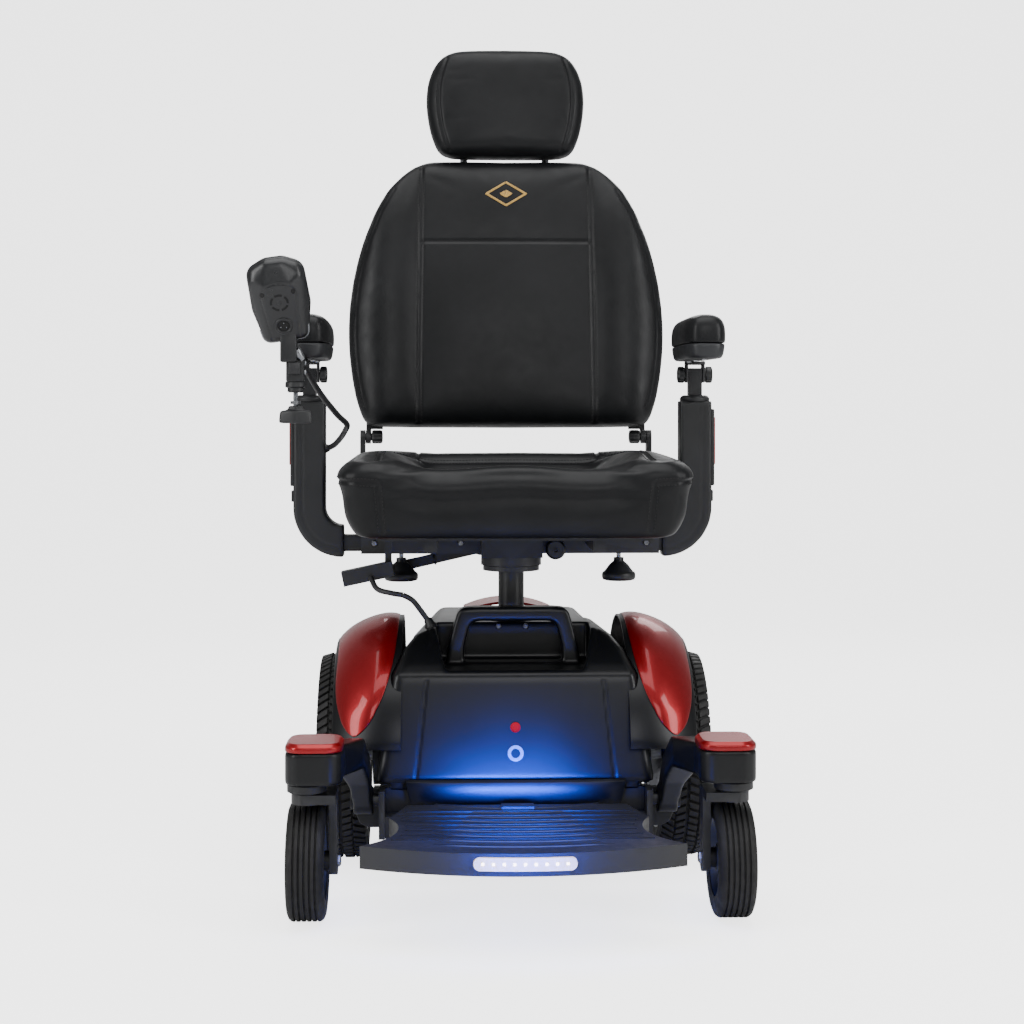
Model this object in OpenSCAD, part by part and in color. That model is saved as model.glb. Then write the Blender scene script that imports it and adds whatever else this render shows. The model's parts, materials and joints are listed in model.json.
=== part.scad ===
// Mid-wheel-drive power wheelchair, millimetres, +Z up.
// The origin is on the floor under the seat post, midway between the drive
// wheels. The chair faces -Y. +X is the occupant's left, and the joystick is
// on the right arm at -X.

/* [Drive wheels] */
// Outside radius of a drive tyre, which is also the axle height
wheel_r = 150; // [145:1:152]
// Width of a drive tyre
wheel_w = 70; // [60:1:72]
// Distance between the centre planes of the two drive tyres
track = 494; // [494:1:500]
// Radius of the seat where the tyre meets its rim
rim_r = 105; // [95:1:110]

/* [Front casters] */
// Radius of a front caster wheel
caster_r = 77; // [70:1:77]
// Width of a front caster wheel
caster_w = 50; // [40:1:50]
// Sideways distance from the centre line to a front swivel axis
caster_x = 276; // [276:1:280]
// Distance of the front swivel axes ahead of the drive axle
caster_reach = 375; // [370:1:380]
// Trail of a front caster wheel behind its swivel axis
caster_trail = 30; // [25:1:32]

/* [Rear casters] */
// Radius of a rear anti-tip caster wheel
rear_r = 62; // [55:1:62]
// Width of a rear caster wheel
rear_w = 32; // [26:1:32]
// Sideways distance from the centre line to a rear swivel axis
rear_x = 150; // [145:1:155]
// Distance of the rear swivel axes behind the drive axle
rear_reach = 300; // [298:1:305]

/* [Seat] */
// Height of the underside of the seat cushion
seat_z = 487; // [487:1:490]
// Half the width of the seat cushion at its widest
seat_half = 252; // [240:1:252]
// Height of the top of the seat cushion
seat_top = 598; // [585:1:598]
// Outside radius of the seat post
post_r = 19.05; // [17:0.05:19.05]
// Backward lean of the backrest in degrees
back_tilt = 8; // [4:1:10]
// Height of the backrest cushion along its own slope
back_h = 439; // [420:1:445]
// Half the width of the headrest at its widest
head_half = 127; // [110:1:130]

/* [Arms] */
// Sideways distance from the centre line to the left arm's post
arm_x = 281; // [281:1:290]
// How much further out the right arm is set
arm_extra = 22; // [0:1:25]
// Width of an armrest pad at its front end
pad_w = 64; // [50:1:66]
// Roll of the joystick module in degrees
stick_roll = 8; // [0:1:10]

/* [Hidden] */

black = "#1d1e20";
satin = "#2a2b2e";
red = "#a5120f";
rubber = "#161617";
steel = "#8d9094";
leather = "#202123";
clear = "#dfe9f2";

$fn = 64;
// running clearance of a pin in its bore, and the flat clearance between parts
run = 0.05;
gap = 1;
// sides of a hull's own round children
soft = 24;

axle_z = wheel_r;
wheel_x = track / 2;
shaft_r = 9;
wall = 3;

// chassis
rail_x = 85;
rail_w = 30;
rail_z = 70;
rail_h = 30;
rail_front = -190;
rail_rear = 200;
pivot_y = -185;
pivot_z = 120;
pivot_pin = 8;
stem_r = 10;
post_bore = post_r + run;
socket_top = 335;

// footplate
foot_hinge_y = -228;
foot_hinge_z = 104;
foot_pin = 6;
foot_low = 97;
foot_top = 125;
foot_front = -515;
foot_arc = 470;
sweep_clear = 118;

// front shroud: the sphere centres of its rounded corners
corner_r = 14;
seam_y = 21;
shroud_low = 145;
deck_z = 350;
face_slope = 0.2;
function face_y(z) = -189.7 + face_slope * (z - 152.7);
face_tilt = 90 - atan(face_slope);
lamp_z = 219;
inlet_z = 184;

// fenders
fender_in = 160;
fender_out = 258;
fender_low = 170;
fender_rise = 36;
fender_start = 12;
function fender_r(x) =
    fender_low + fender_rise * (1 - pow((x - fender_in) / (fender_out - fender_in), 2.2));

// front caster
fork_top = 172;
housing_low = 187;
housing_top = 228;
leg_in = 238;
leg_out = 248;
caster_pin = 8;
wheel_y = -caster_reach + caster_trail;

// rear caster
rear_trail = 28;
rear_pin = 6;
rear_fork_top = 136;

// seat
turn_y = 40;
tube = 25;
tube_z = 462;
knob_x = 165;
hinge_y = 236;
hinge_z = 618;
hinge_pin = 6;
lever_x = -45;
lever_y = 75;
lever_z = 450;
lever_pin = 4;
head_low = 458;
head_h = 169;
head_post_x = 68;
head_post_r = 6;
head_post_v = 24;

// arms
bend_out = 75;
bend_in = 27;
bend_z = 516;
cover_top = 676;
cover_half = 19;
post_side = 20;
flip_z = 716;
flip_pin = 5;
pad_low = 735;
pad_top = 798;
pad_front = -200;
pad_rear = 62;
pad_inset = 13;

// joystick
stick_c = [-317, -300, 810];
stick_lean = 60;
case_half = 56;
case_w = 80;
case_t = 21;
gimbal = [0, -20, 17];
screw_x = -299;
screw_y = -270;
screw_r = 3.5;

// ---- helpers ----
module sided(s) {
    mirror([s < 0 ? 1 : 0, 0, 0]) children();
}

module box(lo, hi) {
    translate(lo) cube(hi - lo);
}

module along_x(x0, x1, r, y, z) {
    translate([x0, y, z]) rotate([0, 90, 0]) cylinder(r = r, h = x1 - x0);
}

module along_y(y0, y1, r, x, z) {
    translate([x, y0, z]) rotate([-90, 0, 0]) cylinder(r = r, h = y1 - y0);
}

// children drawn in the backrest's own frame: x across, y rearward, z up its slope
module back_space() {
    translate([0, hinge_y, hinge_z]) rotate([-back_tilt, 0, 0]) children();
}

// children drawn in the joystick module's own frame
module stick_space() {
    translate(stick_c) rotate([0, -stick_roll, 0]) rotate([-stick_lean, 0, 0]) children();
}

// a quadratic curve from a to c, pulled towards b
function bend(a, b, c, n) =
    [for (i = [0:n]) let (t = i / n) (1 - t) * (1 - t) * a + 2 * t * (1 - t) * b + t * t * c];

// ---- chassis ----
module base_frame() {
    color(satin)
    difference() {
        union() {
            for (s = [-1, 1]) sided(s) {
                box([rail_x - rail_w / 2, rail_front, rail_z],
                    [rail_x + rail_w / 2, rail_rear, rail_z + rail_h]);
                // end plate and suspension pin with its washer
                box([182, -205, rail_z], [190, -168, 136]);
                along_x(188, 228, pivot_pin, pivot_y, pivot_z);
                along_x(226.5, 230, 12, pivot_y, pivot_z);
                // upright and rear beam
                box([rail_x - rail_w / 2, 170, 98], [rail_x + rail_w / 2, rail_rear, 152]);
                box([rail_x - rail_w / 2, 170, 150], [rail_x + rail_w / 2, rear_reach, 180]);
                translate([rear_x, rear_reach, 140]) cylinder(r = 24, h = 50);
                // footplate hinge lug
                along_x(50, 60, 10, foot_hinge_y, foot_hinge_z);
                box([50, foot_hinge_y, 90], [60, -195, 108]);
                // tie-down eyes, front and rear
                box([110, -226, 68], [116, -195, 94]);
                box([40, rear_reach + 10, 152], [46, 346, 178]);
            }
            box([-190, -200, rail_z], [190, -170, rail_z + rail_h]);
            box([-205, -15, rail_z], [205, 15, rail_z + rail_h]);
            box([-175, rear_reach - 15, 150], [175, rear_reach + 15, 180]);
            // battery tray and the seat post's socket
            box([-100, -165, 99], [100, 165, 103]);
            translate([0, 0, 90]) cylinder(r = 25, h = socket_top - 90);
        }
        translate([0, 0, 110]) cylinder(r = post_bore, h = socket_top);
        for (s = [-1, 1]) sided(s) {
            translate([rear_x, rear_reach, 130]) cylinder(r = stem_r + run, h = 57);
            along_x(49, 61, foot_pin + run, foot_hinge_y, foot_hinge_z);
            along_x(105, 120, 7, -212, 80);
            along_x(35, 50, 7, 332, 165);
        }
    }
}

module battery(y0) {
    case_w = 98.5;
    box([-case_w, y0, 104], [case_w, y0 + 130, 255]);
    box([-case_w + 3, y0 + 3, 255], [case_w - 3, y0 + 127, 263]);
    for (s = [-1, 1]) translate([s * 70, y0 + 110, 262]) cylinder(r = 8, h = 13);
    // carrying strap
    box([-40, y0 + 60, 263], [40, y0 + 80, 266]);
}

module batteries() {
    color("#3a3c40") {
        battery(-160);
        battery(30);
    }
}

module motor(s) {
    color("#4a4c50") sided(s)
    difference() {
        union() {
            along_x(110, 205, 45, 0, axle_z);
            along_y(0, 182, 35, rear_x, axle_z);
            along_y(182, 190, 30, rear_x, axle_z);
            along_y(188, 206, 5, rear_x, axle_z);
            // cooling bands
            for (i = [0:5]) along_y(70 + 16 * i, 76 + 16 * i, 36.5, rear_x, axle_z);
            // foot on the cross member
            box([120, -14, 100 + gap / 2], [195, 14, 125]);
        }
        along_x(128, 206, shaft_r + run, 0, axle_z);
    }
}

module motor_left() {
    motor(1);
}

module motor_right() {
    motor(-1);
}

module controller() {
    color("#55585c") {
        box([-95, 192, 181], [95, 278, 206]);
        for (i = [0:8]) box([-92 + 21 * i, 196, 205], [-76 + 21 * i, 274, 226]);
        // plug blocks
        for (s = [-1, 1]) box([s * 60 - 18, 184, 184], [s * 60 + 18, 194, 200]);
    }
}

// ---- shrouds ----
module round_corner(p, g) {
    translate(p) sphere(r = corner_r + g, $fn = soft);
}

// outer form of the front shroud, grown by g
module front_form(g) {
    hull() for (s = [-1, 1]) {
        round_corner([s * 181, -176, 150], g);
        round_corner([s * 155, -151, 275], g);
        round_corner([s * 111, -85, deck_z - corner_r], g);
        round_corner([s * 111, 40, deck_z - corner_r], g);
        round_corner([s * 143, 40, 290], g);
        round_corner([s * 143, 40, 150], g);
    }
}

// the well that the carrying handle stands in, grown by g
module handle_well(g) {
    translate([0, 0, 296 - g]) linear_extrude(height = 120)
        polygon([[-66 - g, -190 - g], [66 + g, -190 - g], [91 + g, -85],
                 [91 + g, -38 + g], [-91 - g, -38 + g], [-91 - g, -85]]);
}

module handle() {
    difference() {
        translate([0, -62, 0]) rotate([90, 0, 0]) linear_extrude(height = 33)
            polygon([[-98, 293], [98, 293], [96, 330], [76, 372], [70, 378],
                     [-70, 378], [-76, 372], [-96, 330]]);
        translate([0, -60, 0]) rotate([90, 0, 0]) linear_extrude(height = 37)
            polygon([[-66, 299], [66, 299], [64, 352], [58, 358],
                     [-58, 358], [-64, 352]]);
    }
}

module face_cylinder(z, r, d0, d1) {
    translate([0, face_y(z), z]) rotate([face_tilt, 0, 0])
        translate([0, 0, d0]) cylinder(r = r, h = d1 - d0);
}

module front_shroud() {
    color(black)
    difference() {
        union() {
            difference() {
                difference() {
                    front_form(0);
                    handle_well(0);
                }
                difference() {
                    front_form(-wall);
                    handle_well(wall);
                }
                // open underside, seam and motor window
                box([-220, -220, 100], [220, 80, shroud_low]);
                box([-220, seam_y - gap, 100], [220, 80, 400]);
                box([-220, -62, 100], [220, 80, 202]);
            }
            handle();
            // lower fairing and the two mud flaps
            box([-150, -205, 112], [150, -202, 150]);
            for (s = [-1, 1]) sided(s) {
                box([104, -166, 78], [223, -161, 134]);
                box([150, -166, 130], [175, -161, 160]);
                box([100, -205, 146], [150, -182, 150]);
            }
        }
        translate([0, 0, 280]) cylinder(r = 27, h = 100);
        face_cylinder(lamp_z, 5.5, -12, 12);
        face_cylinder(inlet_z, 9, -12, 12);
    }
}

// outer form of the rear shroud, grown by g
module rear_form(g) {
    hull() for (s = [-1, 1]) {
        round_corner([s * 111, 0, 331], g);
        round_corner([s * 143, 0, 285], g);
        round_corner([s * 143, 0, 180], g);
        round_corner([s * 100, 210, 331], g);
        round_corner([s * 138, 215, 290], g);
        round_corner([s * 105, 312, 255], g);
        round_corner([s * 150, 300, 180], g);
    }
}

module rear_shroud() {
    color(black)
    difference() {
        rear_form(0);
        rear_form(-wall);
        box([-220, -40, 100], [220, 400, 195]);
        box([-220, -40, 100], [220, seam_y + gap, 400]);
        translate([0, 0, 280]) cylinder(r = 27, h = 100);
        // cooling slots over the controller
        for (i = [-3:3]) box([i * 22 - 7, 280, 215], [i * 22 + 7, 340, 222]);
    }
}

module rear_trim() {
    arch_r = 167;
    color(red)
    translate([0, 232, 361 - arch_r]) rotate([90, 0, 0]) linear_extrude(height = 90)
    difference() {
        circle(r = arch_r, $fn = 160);
        circle(r = arch_r - 4, $fn = 160);
        translate([-200, -200]) square([400, 200 + 346 - 361 + arch_r]);
    }
}

// a band of the fender between two offsets from its outer radius
module fender_band(x0, x1, low, high) {
    steps = 12;
    xs = [for (i = [0:steps]) x0 + (x1 - x0) * i / steps];
    translate([0, 0, axle_z]) rotate([0, 90, 0]) rotate([0, 0, 90 + fender_start])
        rotate_extrude(angle = 180 - 2 * fender_start, $fn = 96)
        polygon(concat([for (x = xs) [fender_r(x) + high, x]],
                       [for (i = [steps:-1:0]) [fender_r(xs[i]) + low, xs[i]]]));
}

module fender(s) {
    color(black) sided(s)
    difference() {
        union() {
            fender_band(fender_in, fender_out, -wall, 0);
            fender_band(fender_out - wall, fender_out, -wall - 8, -1);
        }
        front_form(2);
        rear_form(2);
    }
}

module fender_left() {
    fender(1);
}

module fender_right() {
    fender(-1);
}

module fender_panel(s) {
    tip = [219, 210];
    leaf = concat(bend([163, 372], [166, 262], tip, 12),
                  bend(tip, [262, 216], [256, 300], 12), [[256, 372]]);
    color(red) sided(s)
    intersection() {
        fender_band(fender_in + 3, fender_out - 2, 0.8, 4.8);
        translate([0, 230, 0]) rotate([90, 0, 0]) linear_extrude(height = 460) polygon(leaf);
    }
}

module fender_panel_left() {
    fender_panel(1);
}

module fender_panel_right() {
    fender_panel(-1);
}

module indicator_lamp() {
    color("#c01818") {
        face_cylinder(lamp_z, 5, -10, 1);
        face_cylinder(lamp_z, 7, 0.5, 3);
        face_cylinder(lamp_z, 4.5, 3, 5);
    }
}

module power_inlet() {
    color(steel)
    difference() {
        union() {
            face_cylinder(inlet_z, 8.5, -14, 1);
            face_cylinder(inlet_z, 11, 0.5, 4);
        }
        face_cylinder(inlet_z, 6.5, -4, 5);
    }
}

// gland on the deck and the fixed foot of the controller cable
module base_cable() {
    color(rubber) {
        translate([-112, -60, deck_z + 0.5]) cylinder(r = 10, h = 8);
        translate([-112, -60, deck_z + 8]) cylinder(r1 = 8, r2 = 5, h = 10);
        translate([-112, -60, deck_z + 17]) rotate([0, -20, 0]) cylinder(r = 4, h = 28);
    }
}

// ---- footplate ----
module foot_outline() {
    difference() {
        intersection() {
            polygon([[-150, -240], [150, -240], [217, -480], [217, -530], [-217, -530],
                     [-217, -480]]);
            translate([0, foot_front + foot_arc]) circle(r = foot_arc, $fn = 180);
        }
        for (s = [-1, 1]) translate([s * caster_x, -caster_reach])
            circle(r = sweep_clear, $fn = 96);
    }
}

module light_slot(g, r0, r1) {
    half = 63.5;
    end_r = 8;
    intersection() {
        translate([0, -440, 112]) rotate([90, 0, 0]) linear_extrude(height = 90) union() {
            square([2 * (half - end_r), 2 * (end_r + g)], center = true);
            for (s = [-1, 1]) translate([s * (half - end_r), 0]) circle(r = end_r + g);
        }
        translate([0, foot_front + foot_arc, 90]) difference() {
            cylinder(r = r1, h = 50, $fn = 180);
            translate([0, 0, -1]) cylinder(r = r0, h = 52, $fn = 180);
        }
    }
}

module footplate() {
    color(satin)
    difference() {
        union() {
            translate([0, 0, foot_low]) linear_extrude(height = foot_top - foot_low)
                foot_outline();
            along_x(-80, 80, foot_pin, foot_hinge_y, foot_hinge_z);
            for (s = [-1, 1]) sided(s) {
                along_x(61, 80, 10, foot_hinge_y, foot_hinge_z);
                box([61, -246, foot_low], [80, foot_hinge_y, foot_hinge_z + 8]);
            }
            // grip ribs and latch block
            intersection() {
                for (i = [0:6])
                    box([-220, -285 - 26 * i, foot_top - 1], [220, -281 - 26 * i, foot_top + 1.5]);
                translate([0, 0, foot_low]) linear_extrude(height = 60)
                    offset(delta = -10) foot_outline();
            }
            box([-22, -272, foot_top - 1], [22, -250, foot_top + 4]);
        }
        // hollow underside
        translate([0, 0, foot_low - 1]) linear_extrude(height = foot_top - foot_low - 4)
            intersection() {
                offset(delta = -8) foot_outline();
                translate([-230, -492]) square([460, 236]);
            }
        light_slot(0.6, foot_arc - 11, foot_arc + 10);
    }
}

module light_bar() {
    color(clear) light_slot(0, foot_arc - 10, foot_arc + 2);
}

// ---- drive wheels ----
module drive_tyre(s) {
    half = wheel_w / 2;
    groove = 4;
    color(rubber) sided(s)
    translate([wheel_x, 0, axle_z]) rotate([0, 90, 0])
    difference() {
        rotate_extrude($fn = 128)
            polygon(concat([[rim_r, -half + 9], [rim_r + 10, -half]],
                bend([wheel_r - 20, -half], [wheel_r - 3, -half + 1], [wheel_r, -half + 18], 6),
                bend([wheel_r, half - 18], [wheel_r - 3, half - 1], [wheel_r - 20, half], 6),
                [[rim_r + 10, half], [rim_r, half - 9]]));
        for (z = [-13, 0, 13]) rotate_extrude($fn = 128)
            translate([wheel_r - groove, z - 1.5]) square([groove + 2, 3]);
    }
}

module drive_tyre_left() {
    drive_tyre(1);
}

module drive_tyre_right() {
    drive_tyre(-1);
}

module drive_rim(s) {
    color(steel) sided(s)
    translate([wheel_x, 0, axle_z]) rotate([0, 90, 0]) {
        // the flanges stand outside the tyre's beads
        rotate_extrude($fn = 128)
            polygon([[rim_r - 9, -33], [rim_r + 5, -33], [rim_r + 5, -31.5],
                     [rim_r - 0.2, -26.4], [rim_r - 0.2, 26.4], [rim_r + 5, 31.5],
                     [rim_r + 5, 33], [rim_r - 9, 33], [rim_r - 7, 12], [rim_r - 7, -12]]);
        translate([0, 0, -18]) cylinder(r = 27, h = 36);
        translate([0, 0, 17]) cylinder(r1 = 22, r2 = 17, h = 9);
        for (i = [0:4]) rotate([0, 0, 72 * i]) box([20, -13, -6], [rim_r - 5, 13, 10]);
        // drive shaft into the gearbox
        translate([0, 0, 130 - wheel_x]) cylinder(r = shaft_r, h = wheel_x - 132);
    }
}

module drive_rim_left() {
    drive_rim(1);
}

module drive_rim_right() {
    drive_rim(-1);
}

// ---- front casters ----
module housing_plan(r) {
    for (x = [251, 281], y = [-390, -350]) translate([x, y]) circle(r = r, $fn = 32);
}

module caster_arm(s) {
    link_r = 20;
    color(black) sided(s)
    difference() {
        union() {
            along_x(198, 226, 19, pivot_y, pivot_z);
            hull() {
                translate([200, pivot_y, pivot_z]) rotate([0, 90, 0])
                    cylinder(r = 17, h = 24, $fn = 32);
                translate([201, -228, 168]) rotate([0, 90, 0])
                    cylinder(r = link_r, h = 28, $fn = 32);
            }
            hull() {
                translate([201, -228, 168]) rotate([0, 90, 0])
                    cylinder(r = link_r, h = 28, $fn = 32);
                translate([207, -275, 203]) rotate([0, 90, 0])
                    cylinder(r = link_r, h = 38, $fn = 32);
            }
            hull() {
                translate([207, -275, 203]) rotate([0, 90, 0])
                    cylinder(r = link_r, h = 38, $fn = 32);
                translate([250, -345, housing_low]) cylinder(r = 21, h = 41, $fn = 32);
            }
            translate([0, 0, housing_low]) linear_extrude(height = housing_top - housing_low)
                hull() housing_plan(22);
            translate([caster_x, -caster_reach, 176]) cylinder(r = 17, h = 14);
        }
        along_x(190, 235, pivot_pin + run, pivot_y, pivot_z);
        translate([caster_x, -caster_reach, 170]) cylinder(r = stem_r + run, h = 56);
    }
}

module caster_arm_left() {
    caster_arm(1);
}

module caster_arm_right() {
    caster_arm(-1);
}

module caster_cap(s) {
    color(red) sided(s)
    hull() {
        translate([0, 0, housing_top + 0.2]) linear_extrude(height = 7) housing_plan(22);
        translate([0, 0, housing_top + 7]) linear_extrude(height = 5) housing_plan(17);
    }
}

module caster_cap_left() {
    caster_cap(1);
}

module caster_cap_right() {
    caster_cap(-1);
}

module caster_fork(s) {
    color(satin) sided(s) {
        translate([caster_x, -caster_reach, fork_top - 1])
            cylinder(r = stem_r, h = 225 - fork_top + 1);
        translate([caster_x, -caster_reach, fork_top - 13]) cylinder(r = 20, h = 13);
        box([leg_in, -395, fork_top - 12], [caster_x + 6, wheel_y + 14, fork_top]);
        box([leg_in, wheel_y - 18, caster_r - 12], [leg_out, wheel_y + 14, fork_top]);
        along_x(leg_in, leg_out, 18, wheel_y, caster_r);
        along_x(leg_in, 256.5, 13, wheel_y, caster_r);
        along_x(leg_in, 300, caster_pin, wheel_y, caster_r);
        along_x(297.2, 301, 11, wheel_y, caster_r);
    }
}

module caster_fork_left() {
    caster_fork(1);
}

module caster_fork_right() {
    caster_fork(-1);
}

module caster_wheel(s) {
    half = caster_w / 2;
    pitch = 7;
    color(rubber) sided(s)
    translate([caster_x + 1, wheel_y, caster_r]) rotate([0, 90, 0])
    difference() {
        rotate_extrude($fn = 96)
            polygon(concat([[caster_pin + run, -20], [17, -20], [17, -13], [48, -11], [52, -half]],
                bend([caster_r - 14, -half], [caster_r, -half + 1], [caster_r, -half + 9], 5),
                bend([caster_r, half - 9], [caster_r, half - 1], [caster_r - 14, half], 5),
                [[52, half], [48, 11], [17, 13], [17, 20], [caster_pin + run, 20]]));
        for (i = [-2:2]) rotate_extrude($fn = 96)
            translate([caster_r - 2.5, i * pitch - 0.8]) square([5, 1.6]);
    }
}

module caster_wheel_left() {
    caster_wheel(1);
}

module caster_wheel_right() {
    caster_wheel(-1);
}

// ---- rear casters ----
module rear_fork(s) {
    axle_y = rear_reach + rear_trail;
    cheek = rear_w / 2 + 2;
    color(satin) sided(s) {
        translate([rear_x, rear_reach, rear_fork_top - 1]) cylinder(r = stem_r, h = 51);
        box([rear_x - cheek - 5, rear_reach - 20, rear_fork_top - 8],
            [rear_x + cheek + 5, rear_reach + 42, rear_fork_top]);
        for (x = [rear_x - cheek - 5, rear_x + cheek]) {
            box([x, axle_y - 12, rear_r - 4], [x + 5, axle_y + 12, rear_fork_top]);
            along_x(x, x + 5, 14, axle_y, rear_r);
        }
        along_x(rear_x - cheek - 7, rear_x + cheek + 7, rear_pin, axle_y, rear_r);
    }
}

module rear_fork_left() {
    rear_fork(1);
}

module rear_fork_right() {
    rear_fork(-1);
}

module rear_wheel(s) {
    half = rear_w / 2;
    color(rubber) sided(s)
    translate([rear_x, rear_reach + rear_trail, rear_r]) rotate([0, 90, 0])
        rotate_extrude($fn = 96)
        polygon(concat([[rear_pin + run, -half], [14, -half], [14, -8], [36, -8], [40, -half]],
            bend([rear_r - 8, -half], [rear_r, -half + 1], [rear_r, -half + 8], 5),
            bend([rear_r, half - 8], [rear_r, half - 1], [rear_r - 8, half], 5),
            [[40, half], [36, 8], [14, 8], [14, half], [rear_pin + run, half]]));
}

module rear_wheel_left() {
    rear_wheel(1);
}

module rear_wheel_right() {
    rear_wheel(-1);
}

module freewheel_lever(s) {
    color(red) sided(s)
    difference() {
        union() {
            along_y(193, 202, 12, rear_x, axle_z);
            box([rear_x, 194, axle_z - 6], [rear_x + 40, 201, axle_z + 6]);
            along_y(193, 202, 9, rear_x + 40, axle_z);
        }
        along_y(190, 210, 5 + run, rear_x, axle_z);
    }
}

module freewheel_lever_left() {
    freewheel_lever(1);
}

module freewheel_lever_right() {
    freewheel_lever(-1);
}

// ---- seat ----
module seat_post() {
    color(satin) {
        translate([0, 0, 170]) cylinder(r = post_r, h = 256);
        translate([0, 0, 424]) cylinder(r = 42, h = 7);
        translate([0, 0, 430]) cylinder(r = 15, h = 22);
    }
}

module seat_frame() {
    slot_w = tube + 0.2;
    rest_z = seat_z - gap;
    color(satin)
    difference() {
        union() {
            translate([0, 0, 432]) cylinder(r = 45, h = 14);
            box([-45, -45, 445], [45, 58, rest_z - 4]);
            box([-225, turn_y - 16, tube_z - 16], [225, turn_y + 16, tube_z + 16]);
            // pan, its rails and the rear bar
            box([-192, -190, rest_z - 5], [192, 205, rest_z]);
            for (s = [-1, 1]) sided(s) {
                box([110, -170, 464], [128, 205, rest_z]);
                box([228, 225, 462], [236, 247, hinge_z]);
                along_x(228, 236, 11, hinge_y, hinge_z);
                along_x(205, 229, hinge_pin, hinge_y, hinge_z);
                box([190, 206, 462], [236, 228, rest_z - 2]);
            }
            box([-192, 198, 462], [192, 222, rest_z - 2]);
            // lug and pin of the swivel lever
            box([lever_x - 8, 86, 440], [lever_x + 8, 91, rest_z - 3]);
            along_y(66, 88, lever_pin, lever_x, lever_z);
        }
        translate([0, 0, 425]) cylinder(r = 15 + run, h = 28);
        for (s = [-1, 1]) sided(s) {
            box([66, turn_y - slot_w / 2, tube_z - slot_w / 2],
                [240, turn_y + slot_w / 2, tube_z + slot_w / 2]);
            translate([knob_x, turn_y, 440]) cylinder(r = 4 + run, h = 12);
        }
    }
}

module seat_cushion() {
    low_half = 205;
    color(leather)
    hull() for (s = [-1, 1]) {
        translate([s * (low_half - 30), -190, seat_z]) cylinder(r = 28, h = 4, $fn = 32);
        translate([s * (low_half - 30), 175, seat_z]) cylinder(r = 30, h = 4, $fn = 32);
        translate([s * (seat_half - 42), -188, 570]) cylinder(r = 42, h = 8, $fn = 32);
        translate([s * (seat_half - 42), 165, 570]) cylinder(r = 42, h = 8, $fn = 32);
        translate([s * (seat_half - 55), -180, seat_top - 8]) cylinder(r = 35, h = 5, $fn = 32);
        translate([s * (seat_half - 55), 160, seat_top - 5]) cylinder(r = 35, h = 5, $fn = 32);
    }
}

module cable_box() {
    color(black) {
        translate([-213, -12, 420]) rotate([0, -12, 0])
            box([-38, -14, -11], [38, 14, 11]);
        box([-188, -14, 420], [-178, -9, 480]);
    }
}

module swivel_lever() {
    span = 142;
    color(satin)
    difference() {
        translate([lever_x, 0, lever_z]) rotate([0, -13, 0]) union() {
            along_y(lever_y - 6, lever_y + 6, 10, 0, 0);
            box([-span, lever_y - 3, -7], [0, lever_y + 3, 7]);
            along_y(lever_y - 5, lever_y + 5, 8, -span, 0);
        }
        along_y(60, 90, lever_pin + run, lever_x, lever_z);
    }
}

module width_knob(s) {
    color(black) sided(s)
    translate([knob_x, turn_y, 0]) {
        translate([0, 0, 404]) cylinder(r1 = 21, r2 = 24, h = 8);
        translate([0, 0, 412]) cylinder(r1 = 24, r2 = 18, h = 18);
        translate([0, 0, 430]) cylinder(r1 = 18, r2 = 8, h = 9);
        translate([0, 0, 438]) cylinder(r = 4, h = 11.2);
    }
}

module width_knob_left() {
    width_knob(1);
}

module width_knob_right() {
    width_knob(-1);
}

// ---- backrest and headrest ----
module back_frame() {
    color(satin) back_space()
    difference() {
        union() {
            // back pan, drawn as a tapered plate
            translate([0, 13, 0]) rotate([90, 0, 0]) linear_extrude(height = 4)
                polygon([[-205, 20], [205, 20], [212, 190], [165, 380], [110, 425],
                         [-110, 425], [-165, 380], [-212, 190]]);
            for (s = [-1, 1]) sided(s) {
                along_x(219, 227, 11, 0, 0);
                box([219, -2, -3], [227, 13, 11]);
                box([219, 9, 3], [227, 13, 60]);
                box([200, 9, 14], [220, 13, 60]);
                // headrest socket
                translate([head_post_x, head_post_v, 280]) cylinder(r = 10, h = 155);
                box([head_post_x - 7, 11, 290], [head_post_x + 7, head_post_v, 420]);
                box([19, 12, 60], [25, 18, 400]);
            }
            box([-90, 12, 120], [90, 20, 150]);
        }
        for (s = [-1, 1]) sided(s) {
            along_x(218, 228, hinge_pin + run, 0, 0);
            translate([head_post_x, head_post_v, 270])
                cylinder(r = head_post_r + run, h = 170);
        }
    }
}

// outline pegs of the backrest: half width, height of the peg's centre, its radius and
// how far its front end lies above its rear end
back_pegs = [[139, back_h, 12, -8], [168, back_h - 22, 22, -8], [212, back_h - 100, 40, -8],
             [252, 180, 66, -8], [237, 36, 24, 36]];

module back_cushion() {
    front = -72;
    rear = 7;
    edge_depth = 55;
    front_inset = 8;
    color(leather) back_space()
    hull() for (p = back_pegs, s = [-1, 1]) {
        x = p[0] - p[2];
        translate([s * x, rear, p[1]]) rotate([90, 0, 0])
            cylinder(r = p[2], h = edge_depth, $fn = 32);
        translate([s * (x - front_inset), rear, p[1] + p[3]]) rotate([90, 0, 0])
            cylinder(r = p[2], h = rear - front, $fn = 32);
    }
}

module recline_knob(s) {
    lobes = 6;
    color(black) sided(s)
    translate([199, hinge_y, hinge_z]) rotate([0, 90, 0])
    difference() {
        union() {
            cylinder(r = 9, h = 18);
            for (i = [0:lobes - 1]) rotate([0, 0, 360 / lobes * i])
                translate([7.5, 0, 0]) cylinder(r = 3.2, h = 12, $fn = 32);
        }
        translate([0, 0, 5]) cylinder(r = hinge_pin + run, h = 20);
    }
}

module recline_knob_left() {
    recline_knob(1);
}

module recline_knob_right() {
    recline_knob(-1);
}

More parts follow.
